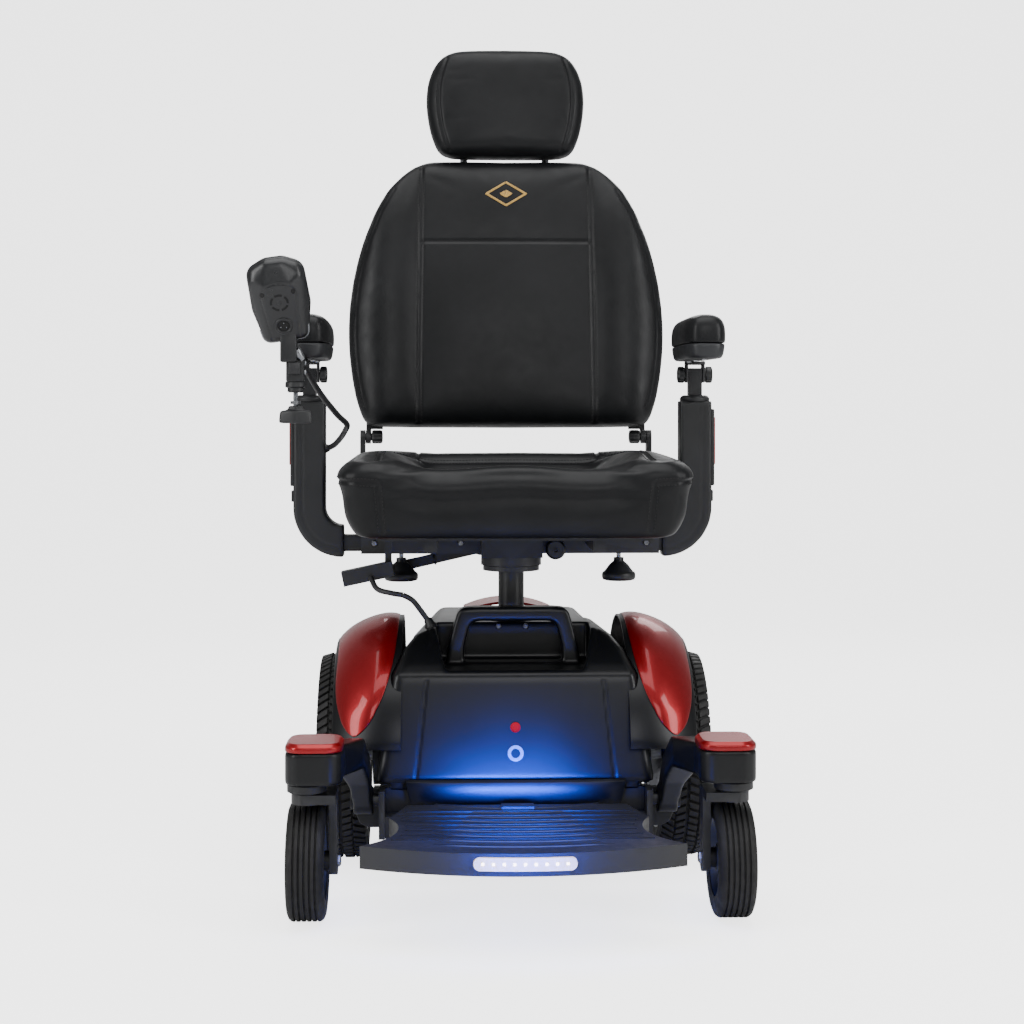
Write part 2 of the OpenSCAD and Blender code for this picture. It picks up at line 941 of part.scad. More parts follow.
module headrest_pad() {
    depth = 80;
    color(leather) back_space()
    hull() for (s = [-1, 1]) {
        translate([s * (head_half - 34), 12, head_low + 98]) rotate([90, 0, 0])
            cylinder(r = 34, h = depth, $fn = 32);
        translate([s * 72, 12, head_low + head_h - 22]) rotate([90, 0, 0])
            cylinder(r = 22, h = depth - 8, $fn = 32);
        translate([s * 86, 12, head_low + 24]) rotate([90, 0, 0])
            cylinder(r = 24, h = depth - 8, $fn = 32);
    }
}

module headrest_posts() {
    color(steel) back_space() {
        for (s = [-1, 1]) translate([s * head_post_x, head_post_v, 300])
            cylinder(r = head_post_r, h = 270);
        box([-head_post_x - 14, 13, 500], [head_post_x + 14, 19, 575]);
    }
}

// ---- arms ----
// out is how far this arm is pulled from its inner position
module arm_frame(s, out) {
    bend_x = arm_x + 24 - bend_out + out;
    color(black) sided(s)
    difference() {
        union() {
            box([70 + out, turn_y - tube / 2, tube_z - tube / 2],
                [bend_x + 1, turn_y + tube / 2, tube_z + tube / 2]);
            intersection() {
                translate([bend_x, turn_y + cover_half, bend_z]) rotate([90, 0, 0])
                    rotate_extrude($fn = 96)
                    translate([bend_in, 0]) square([bend_out - bend_in, 2 * cover_half]);
                box([bend_x - 0.5, 0, bend_z - 100], [bend_x + 100, 80, bend_z]);
            }
            box([bend_x + bend_in, turn_y - cover_half, bend_z - 0.5],
                [bend_x + bend_out, turn_y + cover_half, cover_top]);
            translate([arm_x + out, turn_y, cover_top - 1]) cylinder(r = 17, h = 9);
        }
        box([arm_x + out - 10.1, turn_y - 10.1, 545], [arm_x + out + 10.1, turn_y + 10.1, 700]);
    }
}

module arm_frame_left() {
    arm_frame(1, 0);
}

module arm_frame_right() {
    arm_frame(-1, arm_extra);
}

module arm_post(s, out) {
    half = post_side / 2;
    color(steel) sided(s) translate([arm_x + out, turn_y, 0]) {
        box([-half, -half, 552], [half, half, flip_z + 10]);
        along_x(-19, 18, flip_pin, 0, flip_z);
        along_x(-23, -15.5, 11, 0, flip_z);
        along_x(15.5, 26, 11, 0, flip_z);
    }
}

module arm_post_left() {
    arm_post(1, 0);
}

module arm_post_right() {
    arm_post(-1, arm_extra);
}

module armrest_pad(s, out) {
    front_half = pad_w / 2;
    rear_half = 25;
    color(leather) sided(s) translate([arm_x + out, turn_y, 0])
    difference() {
        union() {
            translate([-pad_inset, -turn_y, 0]) {
                hull() for (t = [-1, 1]) {
                    translate([t * (front_half - 20), pad_front + 20, 758])
                        cylinder(r = 20, h = 34, $fn = 32);
                    translate([t * (front_half - 20), pad_front + 20, pad_top - 6])
                        cylinder(r = 14, h = 6, $fn = 32);
                    translate([t * (rear_half - 14), pad_rear - 14, 752])
                        cylinder(r = 14, h = 36, $fn = 32);
                }
                hull() for (t = [-1, 1]) {
                    translate([t * (front_half - 22), pad_front + 21, pad_low])
                        cylinder(r = 18, h = 24, $fn = 32);
                    translate([t * (rear_half - 15), pad_rear - 15, pad_low])
                        cylinder(r = 13, h = 22, $fn = 32);
                }
            }
            // cheeks over the post, with the flip-up pivot
            for (x = [-14, 10.7]) box([x, -11, flip_z - 12], [x + 3.3, 11, pad_low - 1]);
            box([-32, -18, pad_low - 4], [14, 14, pad_low + 1]);
        }
        along_x(-20, 20, flip_pin + run, 0, flip_z);
    }
}

module armrest_pad_left() {
    armrest_pad(1, 0);
}

module armrest_pad_right() {
    armrest_pad(-1, arm_extra);
}

// ---- joystick ----
module joystick_form() {
    hull() {
        for (s = [-1, 1]) {
            translate([s * (case_w / 2 - 18), -case_half + 18, -14])
                cylinder(r = 18, h = 32, $fn = 32);
            translate([s * (case_w / 2 - 14), 8, -10]) cylinder(r = 14, h = 28, $fn = 32);
            translate([s * 14, case_half - 12, -case_t]) cylinder(r = 12, h = 38, $fn = 32);
            translate([s * 14, -case_half + 26, -case_t]) cylinder(r = 12, h = 2, $fn = 32);
        }
        translate([0, -18, 0]) cylinder(r = 24, h = case_t, $fn = 32);
    }
}

module joystick_case() {
    color(black)
    difference() {
        union() {
            stick_space() joystick_form();
            box([screw_x - 8, -292, 712], [screw_x + 8, -120, 728]);
            box([screw_x - 8, -172, 727], [screw_x + 8, -130, pad_low - 0.5]);
            box([screw_x - 12, screw_y - 14, 702], [screw_x + 12, screw_y + 14, 738]);
            box([-317, -294, 726], [-296, -272, 766]);
            translate([screw_x, screw_y, 688]) cylinder(r = 14, h = 15);
        }
        stick_space() {
            translate([0, gimbal[1], 1]) cylinder(r = 16, h = 40);
            for (s = [-1, 1]) translate([s * 14, 24, 12]) cylinder(r = 5.3, h = 20);
            // plug socket on the underside
            translate([0, 28, -case_t - 1]) cylinder(r = 7, h = 11);
        }
        translate([screw_x, screw_y, 680]) cylinder(r = screw_r + run, h = 37);
    }
}

// rubber dome that turns with the gimbal, slotted so the stick can roll in it
module joystick_boot() {
    slot_half = 9.6;
    color(rubber) stick_space() translate(gimbal)
    difference() {
        sphere(r = 14);
        sphere(r = 11);
        box([-slot_half, -4.4, 4], [slot_half, 4.4, 20]);
    }
}

module joystick_stick() {
    color(black) stick_space() translate(gimbal) {
        sphere(r = 7);
        cylinder(r = 4, h = 22);
        translate([0, 0, 18]) cylinder(r1 = 5, r2 = 9, h = 6);
        translate([0, 0, 24]) cylinder(r = 9, h = 8);
        translate([0, 0, 32]) cylinder(r1 = 9, r2 = 6, h = 4);
    }
}

module button(s) {
    stick_space() translate([s * 14, 24, 15]) {
        cylinder(r = 5, h = 6.5);
        translate([0, 0, 6.5]) cylinder(r1 = 5, r2 = 4, h = 1);
    }
}

module power_button() {
    color("#2f7d3a") button(1);
}

module horn_button() {
    color("#c9a227") button(-1);
}

module joystick_knob() {
    color(black) translate([screw_x, screw_y, 0]) {
        translate([0, 0, 646]) cylinder(r = 12, h = 24);
        hull() for (t = [-1, 1]) translate([t * 15, 0, 646]) {
            cylinder(r = 8, h = 19, $fn = 32);
            cylinder(r = 6, h = 21, $fn = 32);
        }
        translate([0, 0, 669]) cylinder(r = screw_r, h = 45);
    }
}

base_frame();
batteries();
motor_left();
motor_right();
controller();
front_shroud();
fender_left();
fender_right();
fender_panel_left();
fender_panel_right();
rear_shroud();
rear_trim();
indicator_lamp();
power_inlet();
base_cable();
footplate();
light_bar();
drive_tyre_left();
drive_tyre_right();
drive_rim_left();
drive_rim_right();
caster_arm_left();
caster_arm_right();
caster_cap_left();
caster_cap_right();
caster_fork_left();
caster_fork_right();
caster_wheel_left();
caster_wheel_right();
rear_fork_left();
rear_fork_right();
rear_wheel_left();
rear_wheel_right();
freewheel_lever_left();
freewheel_lever_right();
seat_post();
seat_frame();
seat_cushion();
cable_box();
swivel_lever();
width_knob_left();
width_knob_right();
back_frame();
back_cushion();
recline_knob_left();
recline_knob_right();
headrest_pad();
headrest_posts();
arm_frame_left();
arm_frame_right();
arm_post_left();
arm_post_right();
armrest_pad_left();
armrest_pad_right();
joystick_case();
joystick_boot();
joystick_stick();
power_button();
horn_button();
joystick_knob();
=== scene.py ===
"""Looks of the power wheelchair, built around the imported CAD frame.

Helpers take millimetres in the shared frame unless they say metres, and V() gives metres.
The chair faces -Y, +Z is up, and +X is the occupant's left.
"""
import json
import math
from contextlib import contextmanager

import bmesh
import bpy
import numpy as np
from mathutils import Matrix, Vector
from mathutils.bvhtree import BVHTree
from mathutils.kdtree import KDTree
from numpy import linspace

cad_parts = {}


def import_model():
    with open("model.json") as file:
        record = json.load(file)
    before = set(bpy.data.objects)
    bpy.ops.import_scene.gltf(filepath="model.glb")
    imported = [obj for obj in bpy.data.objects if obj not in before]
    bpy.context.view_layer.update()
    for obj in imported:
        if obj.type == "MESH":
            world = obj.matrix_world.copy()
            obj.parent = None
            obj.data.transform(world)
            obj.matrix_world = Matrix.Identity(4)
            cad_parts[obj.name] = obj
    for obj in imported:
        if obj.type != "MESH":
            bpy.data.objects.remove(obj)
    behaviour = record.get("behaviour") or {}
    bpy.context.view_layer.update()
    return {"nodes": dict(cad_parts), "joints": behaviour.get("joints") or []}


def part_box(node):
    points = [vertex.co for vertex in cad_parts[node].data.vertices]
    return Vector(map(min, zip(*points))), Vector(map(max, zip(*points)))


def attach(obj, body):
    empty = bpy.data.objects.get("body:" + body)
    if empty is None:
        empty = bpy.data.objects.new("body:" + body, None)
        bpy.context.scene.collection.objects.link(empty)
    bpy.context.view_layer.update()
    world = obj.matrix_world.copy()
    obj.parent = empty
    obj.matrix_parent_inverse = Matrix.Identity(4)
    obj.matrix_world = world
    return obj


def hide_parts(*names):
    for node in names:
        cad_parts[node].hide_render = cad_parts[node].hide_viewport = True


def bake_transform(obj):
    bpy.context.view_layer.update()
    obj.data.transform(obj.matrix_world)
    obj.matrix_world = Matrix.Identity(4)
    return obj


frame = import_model()
scene = bpy.context.scene

MM = 0.001
WELD_M = 1e-6
JOINTS = {j["name"]: j for j in frame["joints"]}
SIDES = {1: "left", -1: "right"}
AHEAD, UP, DOWN = Vector((0, 1, 0)), (0, 0, 1), Vector((0, 0, -1))
SMOOTH = "smooth"


def V(x, y, z):
    return Vector((x, y, z)) * MM


def polar(r, a, h=0):
    return V(r * math.cos(a), r * math.sin(a), h)


def turns(n):
    """n angles spread round a circle."""
    return [math.tau * k / n for k in range(n)]


def box_mm(node):
    low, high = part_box(node)
    return low / MM, high / MM


def joint_mm(name):
    return Vector(JOINTS[name]["pos_m"]) / MM


# ---------------------------------------------------------------- frames
lift = JOINTS["headrest_height"]["axis"]
BACK_TILT = math.atan2(lift[1], lift[2])
BACK = (Matrix.Translation(Vector(JOINTS["back_fold"]["pos_m"]))
        @ Matrix.Rotation(-BACK_TILT, 4, "X"))
BACK_AHEAD = (BACK.to_3x3() @ AHEAD).normalized()
BACK_INVERSE = Matrix(BACK).inverted()
STICK_Z = -Vector(JOINTS["power_press"]["axis"])
STICK_X = Vector(JOINTS["stick_pitch"]["axis"])
STICK_Y = STICK_Z.cross(STICK_X)
# the module's own centre lies 20 mm behind and 17 mm under the gimbal
STICK_C = Vector(JOINTS["stick_pitch"]["pos_m"]) + STICK_Y * 0.020 - STICK_Z * 0.017
STICK = Matrix.Translation(STICK_C) @ Matrix((STICK_X, STICK_Y, STICK_Z)).transposed().to_4x4()


def S(x, y, z):
    return STICK @ V(x, y, z)


# ---------------------------------------------------------------- materials
class Look:
    """A node material being put together."""

    def __init__(self, name, color, roughness=0.5, metallic=0.0, **sockets):
        self.mat = bpy.data.materials.new(name)
        self.mat.use_nodes = True
        self.nt = self.mat.node_tree
        self.bsdf = self.nt.nodes["Principled BSDF"]
        self.set("Base Color", (*color, 1))
        self.set("Roughness", roughness)
        self.set("Metallic", metallic)
        for key, value in sockets.items():
            self.set(key.replace("_", " "), value)
        self.color = color
        self.coord = self.nt.nodes.new("ShaderNodeTexCoord").outputs["Object"]
        self.height = None

    def set(self, socket, value):
        self.bsdf.inputs[socket].default_value = value

    def node(self, kind, **values):
        n = self.nt.nodes.new("ShaderNode" + kind)
        for key, value in values.items():
            if key in n.inputs:
                n.inputs[key].default_value = value
            else:
                setattr(n, key, value)
        return n

    def link(self, a, b):
        self.nt.links.new(a, b)

    def noise(self, scale, detail=3, rough=0.5, stretch=(1, 1, 1)):
        mapping = self.node("Mapping", Scale=stretch)
        self.link(self.coord, mapping.inputs["Vector"])
        n = self.node("TexNoise", Scale=scale, Detail=detail, Roughness=rough)
        self.link(mapping.outputs[0], n.inputs["Vector"])
        return n.outputs["Fac"]

    def cells(self, scale, feature="F1"):
        n = self.node("TexVoronoi", Scale=scale, feature=feature)
        self.link(self.coord, n.inputs["Vector"])
        return n.outputs["Distance"]

    def ramp(self, value, low, high, a=0.0, b=1.0):
        n = self.node("MapRange", **{"From Min": low, "From Max": high, "To Min": a, "To Max": b})
        self.link(value, n.inputs["Value"])
        return n.outputs["Result"]

    def vary_rough(self, value, low, high):
        self.link(self.ramp(value, 0.3, 0.7, low, high), self.bsdf.inputs["Roughness"])

    def vary_color(self, value, other):
        mix = self.node("Mix", data_type="RGBA")
        mix.inputs[6].default_value = (*self.color, 1)
        mix.inputs[7].default_value = (*other, 1)
        self.link(self.ramp(value, 0.35, 0.65), mix.inputs[0])
        self.link(mix.outputs[2], self.bsdf.inputs["Base Color"])

    def bump(self, value, strength, distance):
        """Adds a bump layer. distance is in metres."""
        n = self.node("Bump", Strength=strength, Distance=distance)
        self.link(value, n.inputs["Height"])
        if self.height is not None:
            self.link(self.height, n.inputs["Normal"])
        self.height = n.outputs["Normal"]
        self.link(self.height, self.bsdf.inputs["Normal"])

    def edge_wear(self, amount, color):
        """Lightens sharp edges a little, as handling does."""
        geo = self.node("NewGeometry")
        fac = self.ramp(geo.outputs["Pointiness"], 0.53, 0.60, 0, amount)
        old = self.bsdf.inputs["Base Color"]
        mix = self.node("Mix", data_type="RGBA")
        self.link(old.links[0].from_socket, mix.inputs[6])
        mix.inputs[7].default_value = (*color, 1)
        self.link(fac, mix.inputs[0])
        self.link(mix.outputs[2], old)


def layered(name, color, rough, metallic=0.0, shared=None, tint=None, gloss=None, bumps=(),
            wear=None, **sockets):
    """A material built up in layers.

    A pattern is "noise" or "cells" with its arguments, or None for the shared one. tint is
    (pattern, colour), gloss is (pattern, low, high), each bump is (pattern, strength, metres)
    and wear is (amount, colour).
    """
    look = Look(name, color, rough, metallic, **sockets)

    def made(pattern):
        return getattr(look, pattern[0])(*pattern[1:]) if pattern else common

    common = made(shared) if shared else None
    if tint:
        look.vary_color(made(tint[0]), tint[1])
    if gloss:
        look.vary_rough(made(gloss[0]), *gloss[1:])
    for pattern, strength, distance in bumps:
        look.bump(made(pattern), strength, distance)
    if wear:
        look.edge_wear(*wear)
    return look.mat


def scaled(color, factor):
    return tuple(c * factor for c in color)


def satin(name, color=(0.0060, 0.0064, 0.0072), rough=(0.38, 0.52), grain=900):
    """Moulded plastic with a fine grain."""
    return layered(name, color, 0.45, tint=(("noise", 6, 3), scaled(color, 1.7)),
                   gloss=(("noise", 30, 4), *rough),
                   bumps=((("cells", grain), 0.18, 0.0003), (("noise", 12, 2), 0.08, 0.004)),
                   wear=(0.25, scaled(color, 3)), Specular_IOR_Level=0.5)


def metal(name, color, rough, stretch=(1, 1, 14)):
    """Brushed metal, drawn out along stretch."""
    return layered(name, color, rough, 1.0, shared=("noise", 240, 4, 0.6, stretch),
                   tint=(("noise", 20, 3), scaled(color, 0.78)),
                   gloss=(None, rough - 0.08, rough + 0.14), bumps=((None, 0.08, 0.0003),))


def thread(name, color, rough, sheen):
    return layered(name, color, rough, tint=(("noise", 700, 2), scaled(color, 0.55)),
                   bumps=((("noise", 2400, 2, 0.5), 0.5, 0.0003),), Sheen_Weight=sheen)


def glow(name, color, strength):
    return layered(name, color, 0.3, gloss=(("noise", 60, 2), 0.3 * 0.8, 0.3 * 1.2),
                   bumps=((("noise", 300, 2), 0.1, 0.0003),), Specular_IOR_Level=0.1,
                   Emission_Color=(*color, 1), Emission_Strength=strength)


LEATHER = layered("leather", (0.0032, 0.0036, 0.0043), 0.38,
                  tint=(("noise", 9, 3), (0.0066, 0.0070, 0.0080)),
                  gloss=(("noise", 55, 4), 0.36, 0.46),
                  bumps=((("noise", 60, 4, 0.6), 0.10, 0.002),
                         (("cells", 1150, "SMOOTH_F1"), 0.16, 0.0004),
                         (("noise", 2600, 2), 0.08, 0.0002)),
                  Specular_IOR_Level=0.26, Sheen_Weight=0.02, Sheen_Roughness=0.4)
PLASTIC = satin("moulded_black")
PAD_SHELL = satin("pad_shell", (0.0105, 0.0112, 0.0130), (0.40, 0.55), 1400)
GLOSS = layered("shroud_gloss", (0.0036, 0.0039, 0.0046), 0.30,
                tint=(("noise", 4, 2), (0.0050, 0.0054, 0.0062)),
                gloss=(("noise", 9, 2), 0.28, 0.34), bumps=((("noise", 6, 1), 0.04, 0.003),),
                Specular_IOR_Level=0.32)
STICK_CASE = satin("stick_case", (0.0085, 0.0090, 0.0100), (0.26, 0.34), 1600)
CANDY = layered("candy_red", (0.25, 0.0003, 0.0030), 0.30, 0.60, shared=("cells", 2600),
                tint=(("noise", 5, 2), (0.33, 0.0006, 0.0042)), gloss=(None, 0.24, 0.42),
                bumps=((None, 0.10, 0.0002),), Coat_Weight=0.40, Coat_Roughness=0.05,
                Coat_IOR=1.5)
RUBBER = layered("tyre_rubber", (0.0075, 0.0075, 0.0078), 0.68,
                 tint=(("noise", 35, 4), (0.012, 0.0118, 0.0115)),
                 gloss=(("noise", 80, 4), 0.50, 0.74), bumps=((("noise", 900, 3), 0.25, 0.0003),),
                 wear=(0.3, (0.026, 0.0255, 0.025)), Specular_IOR_Level=0.35)
COAT = layered("powder_coat", (0.0068, 0.0072, 0.0082), 0.42,
               tint=(("noise", 14, 3), (0.0105, 0.011, 0.0122)),
               gloss=(("noise", 60, 4), 0.34, 0.50), bumps=((("noise", 1300, 2), 0.22, 0.0003),),
               wear=(0.4, (0.04, 0.04, 0.043)))
STEEL = metal("bright_steel", (0.30, 0.31, 0.325), 0.30)
ALLOY = metal("rim_alloy", (0.52, 0.53, 0.56), 0.34, (1, 1, 1))
FINS = metal("controller_alloy", (0.16, 0.165, 0.175), 0.42)
CAST = layered("cast_metal", (0.07, 0.072, 0.078), 0.5, 0.8,
               tint=(("noise", 25, 4), (0.11, 0.112, 0.118)),
               gloss=(("noise", 70, 3), 0.42, 0.6), bumps=((("noise", 500, 4), 0.35, 0.0005),))
BATTERY = layered("battery_case", (0.035, 0.037, 0.042), 0.55,
                  tint=(("noise", 8, 3), (0.05, 0.052, 0.056)),
                  gloss=(("noise", 40, 3), 0.48, 0.62), bumps=((("cells", 500), 0.2, 0.0004),))
CABLE = satin("cable_sheath", (0.010, 0.010, 0.011), (0.42, 0.55), 1800)
THREAD = thread("black_thread", (0.0026, 0.0028, 0.0032), 0.75, 0.0)
GOLD = thread("gold_thread", (0.62, 0.37, 0.07), 0.38, 0.5)
REFLECTOR = layered("reflector", (0.45, 0.02, 0.01), 0.15,
                    tint=(("noise", 60, 2), (0.33, 0.012, 0.008)),
                    bumps=((("cells", 420), 0.7, 0.0008),), Coat_Weight=0.6)
LENS = layered("clear_lens", (0.95, 0.93, 0.85), 0.35, gloss=(("noise", 90, 2), 0.28, 0.42),
               bumps=((("noise", 30, 0, 0.5, (9, 0.1, 0.1)), 0.15, 0.001),),
               Transmission_Weight=0.35, IOR=1.4, Emission_Color=(1.0, 0.74, 0.38, 1),
               Emission_Strength=0.35)
LAMP = glow("red_lamp", (0.50, 0.002, 0.002), 0.08)
WARM_LED = glow("warm_led", (1.0, 0.90, 0.70), 18.0)
GREEN_KEY = satin("green_key", (0.02, 0.22, 0.05))
AMBER_KEY = satin("amber_key", (0.50, 0.27, 0.02))
HUB = satin("caster_hub", (0.012, 0.016, 0.030), (0.35, 0.48))
# near-black stand-in: painted shade for the slots, the socket's opening and the recesses
RECESS_SHADE = satin("painted_recess_shade", (0.0008, 0.0008, 0.0009), (0.7, 0.8))
PAINTED = satin("painted_tube", (0.012, 0.0125, 0.0135), (0.26, 0.38), 2200)


# ---------------------------------------------------------------- mesh helpers
def new_object(name, mesh):
    obj = bpy.data.objects.new(name, mesh)
    scene.collection.objects.link(obj)
    return obj


def from_bmesh(name, bm):
    mesh = bpy.data.meshes.new(name)
    bm.to_mesh(mesh)
    bm.free()
    return new_object(name, mesh)


@contextmanager
def edited(obj):
    """The object's mesh as a BMesh, written back at the end."""
    bm = bmesh.new()
    bm.from_mesh(obj.data)
    yield bm
    bm.to_mesh(obj.data)
    bm.free()


def recalc(obj):
    with edited(obj) as bm:
        bmesh.ops.remove_doubles(bm, verts=bm.verts, dist=WELD_M)
        bmesh.ops.recalc_face_normals(bm, faces=bm.faces)
    return obj


def paint(obj, mat):
    if mat:
        obj.data.materials.append(mat)
    return obj


def mesh_object(name, verts, faces, mat=None, clean=True):
    """verts in metres."""
    mesh = bpy.data.meshes.new(name)
    mesh.from_pydata([tuple(v) for v in verts], [], faces)
    mesh.validate()
    mesh.update()
    obj = new_object(name, mesh)
    return paint(recalc(obj) if clean else obj, mat)


def quads(rows, cols, wrap=False, base=0):
    """Faces between neighbouring rows of cols points each, from vertex base on."""
    return [(base + i * cols + j, base + i * cols + k, base + (i + 1) * cols + k,
             base + (i + 1) * cols + j)
            for i in range(rows - 1) for j in range(cols if wrap else cols - 1)
            for k in ((j + 1) % cols,)]


def tube_faces(rows, cols, base=0):
    """The wall and both ends of a tube of rows rings with cols points each."""
    last = base + (rows - 1) * cols
    return quads(rows, cols, True, base) + [tuple(base + k for k in reversed(range(cols))),
                                            tuple(last + k for k in range(cols))]


def shade(obj, angle=35):
    """Smooth shading that keeps edges sharper than angle."""
    obj.data.shade_smooth()
    obj.data.set_sharp_from_angle(angle=math.radians(angle))
    return obj


def apply_modifiers(obj):
    """Bakes obj's modifiers into its mesh."""
    depsgraph = bpy.context.evaluated_depsgraph_get()
    mesh = bpy.data.meshes.new_from_object(obj.evaluated_get(depsgraph), depsgraph=depsgraph)
    obj.modifiers.clear()
    old = obj.data
    obj.data = mesh
    bpy.data.meshes.remove(old)
    return obj


def modify(obj, kind, bake=True, **settings):
    mod = obj.modifiers.new(kind.lower(), kind)
    for key, value in settings.items():
        setattr(mod, key, value)
    return apply_modifiers(obj) if bake else obj


def remesh(obj, voxel):
    return modify(obj, "REMESH", mode="VOXEL", voxel_size=voxel * MM, use_smooth_shade=True)


def relax(obj, factor, times):
    return modify(obj, "SMOOTH", factor=factor, iterations=times)


def subdivide(obj, levels=1):
    return modify(obj, "SUBSURF", levels=levels, render_levels=levels)


def solidify(obj, thickness):
    return modify(obj, "SOLIDIFY", thickness=thickness * MM, offset=-1)


def boolean(obj, other, operation="DIFFERENCE"):
    modify(obj, "BOOLEAN", operation=operation, solver="EXACT", object=other)
    bpy.data.objects.remove(other)


def round_edges(obj, width, segments=2):
    return modify(obj, "BEVEL", False, width=width * MM, segments=segments,
                  limit_method="ANGLE", angle_limit=math.radians(32), use_clamp_overlap=True)


def coords(obj):
    co = np.empty(len(obj.data.vertices) * 3)
    obj.data.vertices.foreach_get("co", co)
    return co.reshape(-1, 3)


def set_coords(obj, co):
    obj.data.vertices.foreach_set("co", np.ascontiguousarray(co, float).ravel())
    obj.data.update()


def local(co, matrix):
    """World metres to millimetres in the matrix's frame."""
    inv = np.array(matrix.inverted())
    return (co @ inv[:3, :3].T + inv[:3, 3]) / MM


def world(co, matrix):
    m = np.array(matrix)
    return (co * MM) @ m[:3, :3].T + m[:3, 3]


def loft(name, loops, matrix=Matrix.Identity(4), mat=None):
    """Joins loops of points that each have the same number of points, and caps both ends."""
    verts = [matrix @ (Vector(p) * MM) for loop in loops for p in loop]
    return mesh_object(name, verts, tube_faces(len(loops), len(loops[0])), mat)


def lathe(name, profile, matrix, segments=64, closed=True, mat=None):
    """Turns a profile of (radius, height) about the matrix's own Z axis."""
    n = len(profile)
    verts = [matrix @ Vector((r * math.cos(a) * MM, r * math.sin(a) * MM, h * MM))
             for a in turns(segments) for r, h in profile]
    faces = []
    for k in range(segments):
        m = (k + 1) % segments
        for j in range(n if closed else n - 1):
            q = (j + 1) % n
            faces.append((k * n + j, m * n + j, m * n + q, k * n + q))
    return mesh_object(name, verts, faces, mat)


def facing(origin, direction):
    """A matrix at origin whose Z axis points along direction."""
    rot = Vector(direction).to_track_quat("Z", "Y").to_matrix().to_4x4()
    return Matrix.Translation(Vector(origin) * MM) @ rot


def spline(knots, t):
    """Catmull-Rom value of a list of (t, value) knots, flat beyond the ends."""
    ts = [k[0] for k in knots]
    if t <= ts[0]:
        return knots[0][1]
    if t >= ts[-1]:
        return knots[-1][1]
    i = max(j for j in range(len(ts) - 1) if ts[j] <= t)
    p0 = knots[max(i - 1, 0)][1]
    p1, p2 = knots[i][1], knots[i + 1][1]
    p3 = knots[min(i + 2, len(knots) - 1)][1]
    u = (t - ts[i]) / (ts[i + 1] - ts[i])
    return p1 + 0.5 * u * ((p2 - p0) + u * ((2 * p0 - 5 * p1 + 4 * p2 - p3)
                                            + u * (3 * (p1 - p2) + p3 - p0)))


def smooth_path(points, count):
    """Catmull-Rom points through a list of 3-D points, evenly stepped in parameter."""
    last = len(points) - 1
    axes = [[(i, p[a]) for i, p in enumerate(points)] for a in range(3)]
    return [Vector([spline(axis, last * k / (count - 1)) for axis in axes])
            for k in range(count)]


def smooth_step(x, low, high):
    t = np.clip((x - low) / (high - low), 0, 1)
    return t * t * (3 - 2 * t)


def sweep(name, path, r, sides, mat):
    """A round tube of radius r along path (Vectors)."""
    loops = []
    up = Vector((0.13, 0.29, 0.95)).normalized()
    for i, p in enumerate(path):
        a = path[max(i - 1, 0)]
        b = path[min(i + 1, len(path) - 1)]
        direction = (b - a).normalized()
        side = direction.cross(up).normalized()
        up = side.cross(direction).normalized()
        loops.append([p + side * (r * math.cos(t)) + up * (r * math.sin(t))
                      for t in turns(sides)])
    return loft(name, loops, mat=mat)


def prism(name, points, axis, low, high):
    """Extrudes an outline of (u, v) points between low and high along an axis: 'Z' or 'Y'."""
    return loft(name, [[(x, y, h) if axis == "Z" else (x, h, y) for x, y in points]
                       for h in (low, high)])


def block(low, high, mat, bevel=1.5, segments=2, name="block"):
    """A bevelled block between two corners."""
    bm = bmesh.new()
    bmesh.ops.create_cube(bm, size=1)
    lo, hi = Vector(low), Vector(high)
    for v in bm.verts:
        v.co = Vector([(lo[i] + hi[i]) / 2 + v.co[i] * (hi[i] - lo[i]) for i in range(3)]) * MM
    if bevel:
        bmesh.ops.bevel(bm, geom=bm.edges[:], offset=bevel * MM, segments=segments,
                        affect="EDGES", profile=0.5)
    return paint(from_bmesh(name, bm), mat)


def bolt_head(origin, direction, r, h):
    """A hexagonal head with a dished top."""
    profile = [(0.01, h * 0.45), (r * 0.42, h * 0.45), (r * 0.45, h * 0.95), (r * 0.7, h * 0.92),
               (r * 0.95, h * 0.55), (r, h * 0.2), (r, 0), (0.01, 0)]
    return lathe("bolt", profile, facing(origin, direction), 6, mat=STEEL)


def hull_solid(name, balls):
    """Convex hull of balls of (centre, radius, subdivisions)."""
    bm = bmesh.new()
    for c, r, levels in balls:
        bmesh.ops.create_icosphere(bm, subdivisions=levels, radius=r * MM,
                                   matrix=Matrix.Translation(Vector(c) * MM))
    result = bmesh.ops.convex_hull(bm, input=bm.verts[:])
    junk = [g for g in result["geom_interior"] if isinstance(g, bmesh.types.BMVert)]
    bmesh.ops.delete(bm, geom=junk, context="VERTS")
    return from_bmesh(name, bm)


def tube_solid(matrix, r, low, high, segments=40):
    return lathe("tool", [(0.001, low), (r, low), (r, high), (0.001, high)], matrix, segments,
                 closed=False)


def cross_planes(obj, planes, clear):
    """Cuts the mesh along (point, normal) planes. clear drops what each normal points to."""
    with edited(obj) as bm:
        for point, normal in planes:
            bmesh.ops.bisect_plane(bm, geom=bm.verts[:] + bm.edges[:] + bm.faces[:],
                                   plane_co=Vector(point) * MM, plane_no=Vector(normal),
                                   clear_outer=clear)


def remove_faces(obj, test):
    with edited(obj) as bm:
        doomed = [f for f in bm.faces if test(f.calc_center_median() / MM)]
        bmesh.ops.delete(bm, geom=doomed, context="FACES")


